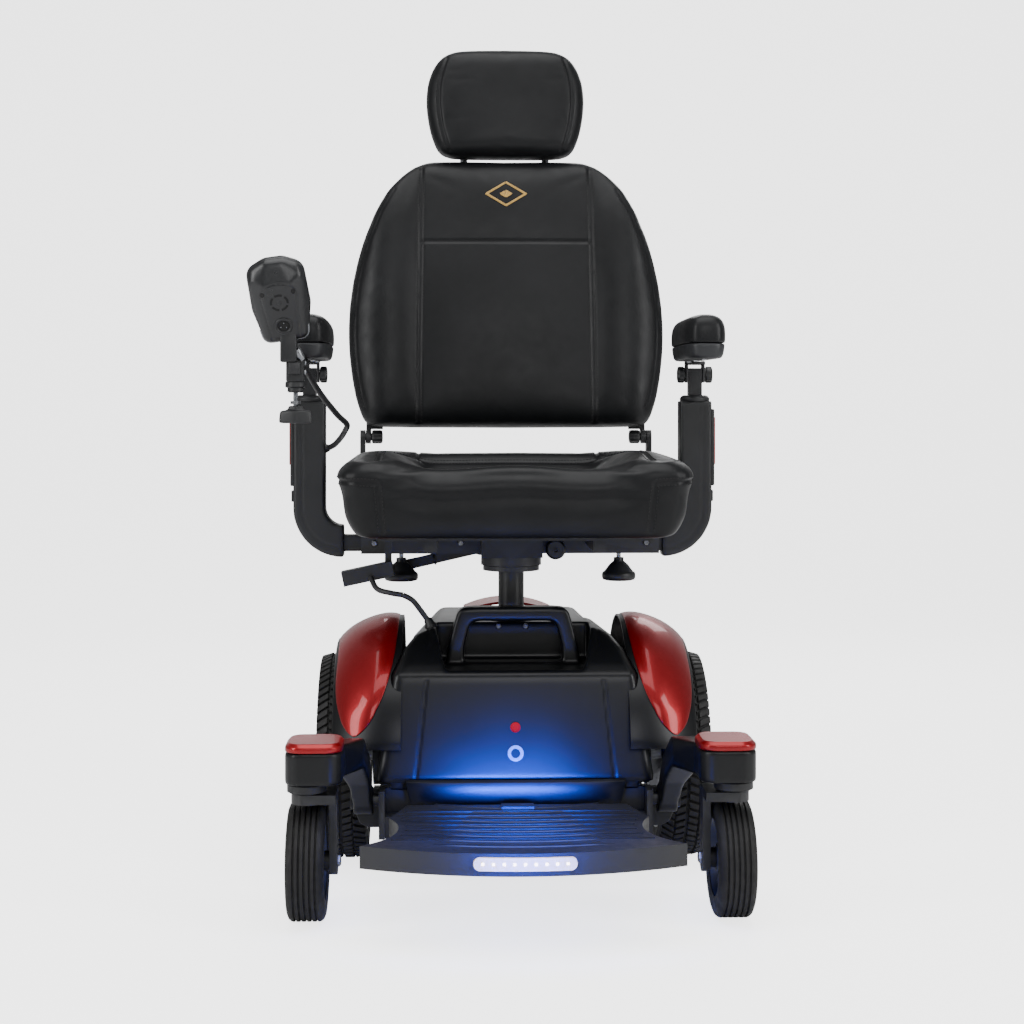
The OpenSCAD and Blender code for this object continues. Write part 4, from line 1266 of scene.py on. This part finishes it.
def lights():
    """Nine warm diodes in the clear bar, along the footplate's curved lip."""
    chips = []
    for x in range(-52, 53, 13):
        y = FOOT_Y - math.sqrt(469.8 ** 2 - x * x)
        chips.append(block((x - 2.0, y - 0.8, 110), (x + 2.0, y + 0.8, 114), WARM_LED, 0.5))
    dress(join("led_chips", chips), None, "footrest", angle=0, slot="clear_lens")
    bar = frame["nodes"]["light_bar"]
    bar.data.materials.clear()
    bar.data.materials.append(LENS)


def foot_ribs():
    """Concentric grip ribs on the footplate's top."""
    verts, faces = [], []
    steps = 50
    for r in range(218, 440, 27):
        half = math.asin(min(0.95, (112 if r < 300 else 96 + 0.16 * (r - 300)) / r))
        faces += quads(steps + 1, 4, base=len(verts))
        for i in range(steps + 1):
            a = -half + 2 * half * i / steps
            fade = min(1.0, 6 * min(i, steps - i) / steps + 0.15)
            for dr, h in ((-3.6, 0), (-2.4, 1.5), (2.4, 1.5), (3.6, 0)):
                q = r + dr
                verts.append(V(q * math.sin(a), FOOT_Y - q * math.cos(a), 124.6 + h * fade))
    dress(mesh_object("footplate_ribs", verts, faces), COAT, "footrest", angle=SMOOTH)


# ---------------------------------------------------------------- arms
def arm(side):
    name = SIDES[side]
    body = "arm_" + name
    post_x = JOINTS["arm_flip_" + name]["pos_m"][0] / MM
    outer = post_x + side * 24
    bend_x, bend_z, crease_r = outer - side * 75, 516, 61
    obj = softened("arm_frame_" + name, "arm_cover_" + name, 2.6, 5)
    # the square bar that slides in the seat's tube keeps its own size up to the cover
    co = coords(obj) / MM
    bar = np.abs(co[:, 0]) < abs(bend_x) - 0.5
    bar_half = 12.4
    for axis, middle in ((1, 40), (2, 462)):
        co[bar, axis] = np.clip(co[bar, axis], middle - bar_half, middle + bar_half)
    set_coords(obj, co * MM)
    # the crease follows the bend and then rises along the front face
    skin = Skin(obj)
    line = [(bend_x + side * crease_r * math.sin(a), bend_z - crease_r * math.cos(a))
            for a in linspace(0.06, math.pi / 2, 24)]
    line += [(bend_x + side * crease_r, z) for z in linspace(520, 668, 30)]
    press_seams(obj, [[skin.drop(V(x, -60, z), AHEAD) for x, z in line]], 1.5, 1.2)
    dress(obj, PLASTIC, body, ["arm_frame_" + name], 40)
    # stepped collar round the post
    turned("arm_collar_" + name, [(15, 0), (21.5, 0), (22.5, 1.5), (22.5, 5), (19.5, 8.5),
                                  (16.5, 9.5), (14.4, 9.5), (14.4, 4)], (post_x, 40, 675.5), UP,
           48, PLASTIC, body)
    # outer trim strip with a red reflector let into it, and a small clip below
    for piece, mat, x_in, x_out, y_half, z0, z1, bevel in (
            ("reflector_housing_", PLASTIC, -2, 4.5, 15, 548, 664, 2.2),
            ("reflector_", REFLECTOR, 3, 6.2, 11, 580, 652, 1.2),
            ("arm_clip_", PLASTIC, -2, 3.5, 7, 524, 541, 1.5)):
        a, b = sorted((outer + side * x_in, outer + side * x_out))
        dress(block((a, 40 - y_half, z0), (b, 40 + y_half, z1), mat, bevel, 3), mat, body,
              name=piece + name)
    hinge = joint_mm("arm_flip_" + name)
    for s, tag in ((1, "outer"), (-1, "inner")):
        star_knob("arm_pivot_knob_%s_%s" % (name, tag), hinge + Vector((s * side * 16, 0, 0)),
                  (s * side, 0, 0), "post_" + name, 12.5, 10.5)


def star_knob(name, origin, direction, body, r, h, stands_for=()):
    """A small grip knob with six flutes."""
    rings = []
    for f, z in ((0.55, 0), (0.86, 0), (1.0, 0.14), (1.0, 0.78), (0.9, 0.95), (0.55, 1.0)):
        ring = []
        for a in turns(72):
            flute = 1 - 0.10 * (0.5 + 0.5 * math.cos(6 * a)) ** 1.6
            ring.append((r * f * flute * math.cos(a), r * f * flute * math.sin(a), z * h))
        rings.append(ring)
    dress(loft(name, rings, facing(origin, direction)), PLASTIC, body, stands_for, 30)


# ---------------------------------------------------------------- joystick
SHELL_BALLS = ((21, -37, 5, 18), (9, -44, 5, 17), (24, -34, -2, 14), (26, 8, 4, 14),
               (20, 45, 4, 12), (20, 45, -7, 11), (16, -30, -11, 10))


def from_side(skin, a, z):
    """Where a ray towards the joystick's middle, from angle a at height z, meets its case."""
    d = Vector((math.cos(a), math.sin(a), 0))
    return skin.drop(S(d.x * 120, d.y * 120, z), (STICK.to_3x3() @ -d).normalized())


def from_under(skin, x, y):
    return skin.drop(S(x, y, -120), STICK_Z)


def joystick_shell():
    balls = [((s * x, y, z), r, 3) for s in (-1, 1) for x, y, z, r in SHELL_BALLS]
    obj = hull_solid("joystick_shell", balls + [((0, -18, 4), 16, 2)])
    boolean(obj, tube_solid(Matrix.Translation(V(0, -20, 0)), 16, 1, 60, 48))
    relax(remesh(obj, 1.5), 0.5, 14)
    obj.data.transform(STICK)
    # the lower cover's outline: an arch with two legs drawing in towards the rear
    skin = Skin(obj)
    arch = [(-18 - 6 * t, 48 - 62 * t) for t in linspace(0, 1, 20)]
    arch += [(-24 * math.cos(a), -14 - 20 * math.sin(a)) for a in linspace(0, math.pi, 30)]
    arch += [(24 - 6 * t, -14 + 62 * t) for t in linspace(0, 1, 20)]
    press_seams(obj, [[from_under(skin, x, y) for x, y in arch]], 1.1, 1.1)
    press_seams(obj, [[from_side(skin, a, 2.5) for a in linspace(0, math.tau, 110)]], 0.9, 0.8)
    return dress(obj, STICK_CASE, "armrest_right", ["joystick_case"], SMOOTH)


def joystick_details(shell):
    skin = Skin(shell)

    def spot(x, y):
        place, normal = from_under(skin, x, y)
        return facing(place / MM, normal)

    # speaker slots: five arcs round a small boss, made as near-black solids that paint in the shade
    # inside the openings
    m = spot(0, -6)
    verts, faces = [], []
    steps = 8
    for a0 in turns(5):
        base = len(verts)
        for i in range(steps + 1):
            a = a0 + 0.95 * i / steps
            verts += [m @ polar(r, a, h)
                      for r, h in ((9.6, 0.5), (12.4, 0.5), (12.4, -1.0), (9.6, -1.0))]
        faces += quads(steps + 1, 4, True, base)
        faces.append((base, base + 1, base + 2, base + 3))
        faces.append(tuple(base + 4 * steps + c for c in (3, 2, 1, 0)))
    parts = [mesh_object("slots", verts, faces, RECESS_SHADE),
             lathe("boss", [(0.01, 0.9), (2.4, 0.8), (3.0, 0.2), (3.0, -1), (0.01, -1)], m, 24,
                   mat=PLASTIC)]
    # charging socket with its three pins; the near-black disc in it is painted shade for the
    # socket's opening
    m = spot(0, 29)
    parts += [lathe("socket", [(8.4, -4), (12.2, -4), (12.2, 0.9), (11.2, 1.9), (9.4, 1.9),
                               (8.4, 1.0)], m, 40, mat=PLASTIC),
              lathe("well", [(0.01, -1.2), (8.6, -1.2), (8.6, 0.1), (0.01, 0.1)], m, 30, mat=RECESS_SHADE)]
    for a in [math.radians(90 + 120 * k) for k in range(3)]:
        parts.append(lathe("pin", [(0.01, 2.2), (0.7, 2.0), (0.9, 1.4), (0.9, 0), (0.01, 0)],
                           m @ Matrix.Translation(polar(4.2, a, -0.9)), 12, mat=STEEL))
    # two near-black discs, painted as the shade inside small recesses in the case
    parts += [lathe("recess", [(0.01, 0.5), (3.0, 0.5), (3.6, 0), (3.6, -1), (0.01, -1)],
                    spot(x, -20), 24, mat=RECESS_SHADE) for x in (-21, 21)]
    # bright lower lip of the case
    lip = [q / MM + n * 0.1 for q, n in [
        from_side(skin, a, -9) for a in linspace(math.radians(48), math.radians(132), 30)]]
    parts.append(sweep("lip", lip, 1.3, 10, STEEL))
    dress(join("joystick_details", parts), None, "armrest_right", slot="moulded_black")


def joystick_mount():
    x, y, _ = joint_mm("joystick_knob_turn")
    parts = [block((x - 8, -292, 712), (x + 8, -120, 728), COAT, 1.6),
             block((x - 8.4, -172, 727), (x + 8.4, -130, 735), COAT, 1.0),
             block((x - 12, y - 14, 702), (x + 12, y + 14, 738), PLASTIC, 2.4, 3),
             block((-318, -294, 728), (-296, -272, 768), PLASTIC, 2.4, 3),
             lathe("collar", [(4, 0), (9, 0), (11, 1.5), (11, 6), (14, 7.5), (14, 13),
                              (12.5, 15.5), (4, 15.5)], facing((x, y, 687.5), UP), 48,
                   mat=PLASTIC)]
    parts += [bolt_head((x + 12, y, z), (1, 0, 0), 3.2, 2.4) for z in (715, 727)]
    dress(join("joystick_mount", parts), None, "armrest_right", slot="chassis_paint")
    # wing knob on its threaded rod
    rings = []
    for f, z in ((0.80, 646), (0.96, 646.8), (1.0, 649), (1.0, 660), (0.97, 662.4), (0.82, 663.6),
                 (0.50, 664), (0.47, 669), (0.36, 670)):
        taper = 1 - 0.10 * (z - 646) / 24
        rings.append([(x + (12 + 11 * abs(math.cos(a)) ** 3) * f * taper * math.cos(a),
                       y + 9.5 * f * math.sin(a), z)
                      for a in turns(48)])
    dress(subdivide(loft("joystick_wing_knob", rings)), PLASTIC, "joystick_clamp",
          ["joystick_knob"])
    verts = []
    pitches, sides, rows = 16, 24, 176
    for i in range(rows + 1):
        for k in range(sides):
            a = math.tau * k / sides
            r = 3.3 + 0.35 * math.cos(math.tau * (i / rows * pitches - k / sides))
            verts.append(V(x + r * math.cos(a), y + r * math.sin(a), 664 + 26 * i / rows))
    rod = [mesh_object("joystick_screw", verts, quads(rows + 1, sides, True), STEEL),
           lathe("nut", [(3.2, 0), (6.5, 0), (7, 0.6), (7, 3.6), (6.5, 4.2), (3.2, 4.2)],
                 facing((x, y, 672), UP), 6, mat=STEEL)]
    dress(join("joystick_screw_rod", rod), STEEL, "joystick_clamp")


# ---------------------------------------------------------------- cables
def cable(name, points, radius, count=60):
    """A sheathed cable swept smoothly through the points, attached to no body."""
    obj = sweep(name, smooth_path(points, count), radius, 16, CABLE)
    obj.data.shade_smooth()
    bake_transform(obj)


def cables():
    foot, mid, end = (-124, -60, 356), (-160, -62, 393), (-208, -34, 416)
    turned("base_cable_gland", [(0.01, 0), (9, 0), (9, 5), (7, 8), (6, 14), (4.2, 16), (0.01, 16)],
           (-118, -60, 344), (-0.4, 0, 0.9), 32, PLASTIC, "base", stands_for=["base_cable"],
           slot="cable_rubber")
    cable("base_cable_lower", [foot, (-134, -60, 370), (-146, -61, 385), mid], 4)
    cable("base_cable_upper", [mid, (-178, -62, 396), (-198, -51, 401), end], 4)
    # joystick lead, from its strain relief back to the arm
    x = joint_mm("arm_flip_right").x
    turned("joystick_strain_relief", [(4.2, 0), (7.2, 0), (7.6, 2), (6.6, 8), (5.2, 14),
                                      (4.6, 16), (4.0, 16)], (-298, -284, 744),
           (0.55, 0.2, -0.8), 40, STEEL, "armrest_right")
    near, plug = (-244, -50, 634), (x + 30, 32, 606)
    cable("joystick_lead_front", [(-292, -280, 732), (-273, -200, 690), (-252, -140, 658),
                                  (-240, -96, 643), near], 4.2,
          90)
    cable("joystick_lead_rear", [near, (-253, -12, 622), (-264, 14, 611), plug], 4.2)
    turned("joystick_lead_plug", [(0.01, 0), (8, 0), (8, 6), (6.5, 9), (5, 13), (0.01, 13)],
           (x + 17, 36, 604), (1, -0.25, 0.1), 32, PLASTIC, "arm_right")


# ---------------------------------------------------------------- under the seat
GRIP = [(0.01, 0), (20, 0), (24, 1.2), (25.4, 4), (25.6, 9), (24.6, 11.8), (22, 13.5),
        (18.5, 18), (14.5, 23.5), (10, 27.5), (7.6, 29.5), (7.5, 34.5), (0.01, 34.5)]


def under_seat():
    for side, name in SIDES.items():
        x, y, _ = joint_mm("width_knob_turn_" + name)
        m = Matrix.Translation(V(x, y, 404))
        body = "width_clamp_" + name
        dress(lathe("width_knob_grip_" + name, GRIP, m), PLASTIC, body, ["width_knob_" + name], 50)
        dress(lathe("stem", [(0.01, 30), (3.4, 30), (3.4, 45), (0.01, 45)], m, 20), STEEL, body,
              name="width_screw_" + name)
        hinge = joint_mm("recline_knob_turn_" + name)
        star_knob("recline_grip_" + name, (side * 217.2, hinge.y, hinge.z), (-side, 0, 0),
                  "recline_clamp_" + name, 11, 17.5, ["recline_knob_" + name])
    # bolt heads and bosses under the pan
    fasteners("seat_bolts", [((x, y, 481), DOWN, 8, 6)
                             for x, y in ((-95, -60), (62, -60), (-62, 130), (62, 130))]
              + [((x, 24, 462), -AHEAD, 5.2, 3.4) for x in (-75, -205, 75, 205)], "seat")
    turned("seat_boss", [(4, 0), (13, 0), (15, 2), (15, 14), (12, 18), (4, 18)],
           (65, -14, 456), -AHEAD, 40, PLASTIC, "seat")
    # thin release wire along the lever, with a tie
    pivot = joint_mm("swivel_release_lift")
    path = smooth_path([pivot + Vector(p) for p in ((-20, -9, 2), (-52, -10, -3), (-88, -9, -12),
                                                    (-122, -9, -19))], 40)
    dress(sweep("release_wire", path, 1.3, 10, CABLE), CABLE, "swivel_release", angle=SMOOTH)
    turned("wire_tie", [(8.2, -1.5), (9.2, -1.5), (9.2, 1.5), (8.2, 1.5)],
           pivot + Vector((-70, 0, -16)), (-0.97, 0, -0.22), 24, PLASTIC, "swivel_release")


def deck_details():
    fasteners("deck_bolts", [((x, -41, 344), (0, -1, 0.15), 4.8, 3.6) for x in (-20, 20)], "base")
    turned("post_gasket", [(20.2, 0), (27.5, 0), (29.5, 1.5), (29.5, 4), (26, 7), (22, 8.5),
                           (20.2, 8.5)], (0, 0, 348.5), UP, 56, RUBBER, "base",
           slot="cable_rubber")
    # three pins in the power inlet
    low, high = box_mm("power_inlet")
    tilt = Vector((0, -1, 0.2)).normalized()
    pins = []
    for a in [math.radians(90 + 120 * k) for k in range(3)]:
        place = (3 * math.cos(a), (low[1] + high[1]) / 2 - 0.5, 184 + 3 * math.sin(a))
        pins.append(lathe("pin", [(0.01, 3.2), (0.8, 3), (1, 2.4), (1, 0), (0.01, 0)],
                          facing(place, tilt), 12, mat=STEEL))
    dress(join("inlet_pins", pins), STEEL, "base")


# ---------------------------------------------------------------- carried-over CAD nodes
# each look's nodes, with the bevel that each gets, or 0. A trailing * stands for both sides
CAD_LOOKS = {
    COAT: {"base_frame": 1.2, "footplate": 1.6, "caster_fork_*": 1.6, "rear_fork_*": 1.2,
           "seat_post": 1.0, "seat_frame": 1.5, "swivel_lever": 1.5, "back_frame": 0.8},
    BATTERY: {"batteries": 3.0},
    CAST: {"motor_*": 0},
    FINS: {"controller": 1.2},
    CANDY: {"rear_trim": 1.2, "freewheel_lever_*": 0},
    LAMP: {"indicator_lamp": 0},
    STEEL: {"power_inlet": 0, "headrest_posts": 0},
    ALLOY: {"drive_rim_*": 1.5},
    CABLE: {"joystick_boot": 0},
    RUBBER: {"rear_wheel_*": 0},
    PLASTIC: {"cable_box": 2.0, "joystick_stick": 0},
    GREEN_KEY: {"power_button": 0},
    AMBER_KEY: {"horn_button": 0},
    PAINTED: {"arm_post_*": 1.5},
}


def coat_cad():
    for mat, nodes in CAD_LOOKS.items():
        for pattern, bevel in nodes.items():
            for side in SIDES.values() if "*" in pattern else [""]:
                obj = frame["nodes"][pattern.replace("*", side)]
                obj.data.materials.clear()
                obj.data.materials.append(mat)
                if bevel:
                    round_edges(obj, bevel, 3)
                modify(obj, "WEIGHTED_NORMAL", False, keep_sharp=True)
                shade(obj, 40)


# ---------------------------------------------------------------- stage, lights and camera
def stage():
    # a floor that sweeps up into a backdrop, in metres
    bend = [math.radians(7.5 * k) for k in range(1, 13)]
    profile = [(-6, 0), (2.6, 0)]
    profile += [(2.6 + 1.6 * math.sin(a), 1.6 * (1 - math.cos(a))) for a in bend]
    profile.append((4.2, 7))
    bm = bmesh.new()
    rows = [[bm.verts.new((x, y, z)) for x in (-9, 9)] for y, z in profile]
    for a, b in zip(rows, rows[1:]):
        bm.faces.new((a[0], a[1], b[1], b[0]))
    floor = from_bmesh("floor", bm)
    look = Look("floor", (0.90, 0.90, 0.905), 0.62, Specular_IOR_Level=0.2)
    look.vary_rough(look.noise(3, 3), 0.58, 0.68)
    # the camera alone sees the floor and backdrop lifted to a clean white
    ray = look.node("LightPath")
    look.set("Emission Color", (1, 1, 1, 1))
    look.link(look.ramp(ray.outputs["Is Camera Ray"], 0, 1, 0, 2.6),
              look.bsdf.inputs["Emission Strength"])
    paint(floor, look.mat).data.shade_smooth()


def area(name, place, target, width, height, power, color=(1, 1, 1), spread=180):
    data = bpy.data.lights.new(name, "AREA")
    data.shape = "RECTANGLE"
    data.spread = math.radians(spread)
    data.energy, data.color, data.size, data.size_y = power, color, width, height
    obj = new_object(name, data)
    obj.location = place
    obj.rotation_euler = (Vector(target) - Vector(place)).to_track_quat("-Z", "Y").to_euler()


def studio():
    scene.world = bpy.data.worlds.new("studio")
    scene.world.use_nodes = True
    nodes, links = scene.world.node_tree.nodes, scene.world.node_tree.links
    back = nodes["Background"]
    back.inputs["Color"].default_value = (1.0, 1.0, 1.0, 1)
    # the camera sees white beyond the backdrop, while the chair is lit more softly
    ray = nodes.new("ShaderNodeLightPath")
    strength = nodes.new("ShaderNodeMapRange")
    strength.inputs["To Min"].default_value = 0.26
    strength.inputs["To Max"].default_value = 3.2
    links.new(ray.outputs["Is Camera Ray"], strength.inputs["Value"])
    links.new(strength.outputs["Result"], back.inputs["Strength"])
    area("top_soft", (0, -0.6, 3.2), (0, 0, 0.4), 2.6, 2.6, 70)
    area("left_strip", (-2.4, -1.6, 1.5), (0, 0, 0.5), 0.7, 2.2, 42)
    area("right_strip", (2.4, -1.6, 1.5), (0, 0, 0.5), 0.7, 2.2, 42)
    area("front_fill", (0.3, -3.6, 1.9), (0, 0, 0.5), 1.8, 1.2, 26)
    area("rear_rim", (0.4, 2.3, 2.0), (0, 0, 0.7), 2.0, 1.2, 30)
    # the blue glow of the footplate's lamps
    blue = (0.004, 0.075, 1.0)
    area("led_up", (0, -0.50, 0.150), (0, -0.20, 0.16), 0.16, 0.03, 0.75, blue, 44)
    area("led_down", (0, -0.47, 0.30), (0, -0.40, 0.10), 0.26, 0.10, 0.8, blue, 90)
    area("led_back", (0, -0.66, 0.12), (0, -0.45, 0.12), 0.16, 0.03, 0.5, blue, 90)


def camera():
    data = bpy.data.cameras.new("camera")
    data.sensor_width = 36
    data.lens = 64.9
    data.shift_y = -0.109
    scene.camera = new_object("camera", data)
    scene.camera.location = (-0.095, -2.760, 0.677)
    scene.camera.rotation_euler = (math.radians(90), 0, math.radians(-2))


# ---------------------------------------------------------------- build
seat_cushion()
emblem(back_cushion())
headrest()
front_shroud()
rear_shroud()
for side in SIDES:
    fender(side)
    drive_wheel(side)
    front_casters(side)
    armrest(side)
    arm(side)
lights()
joystick_details(joystick_shell())
joystick_mount()
cables()
under_seat()
deck_details()
foot_ribs()
coat_cad()
stage()
studio()
camera()
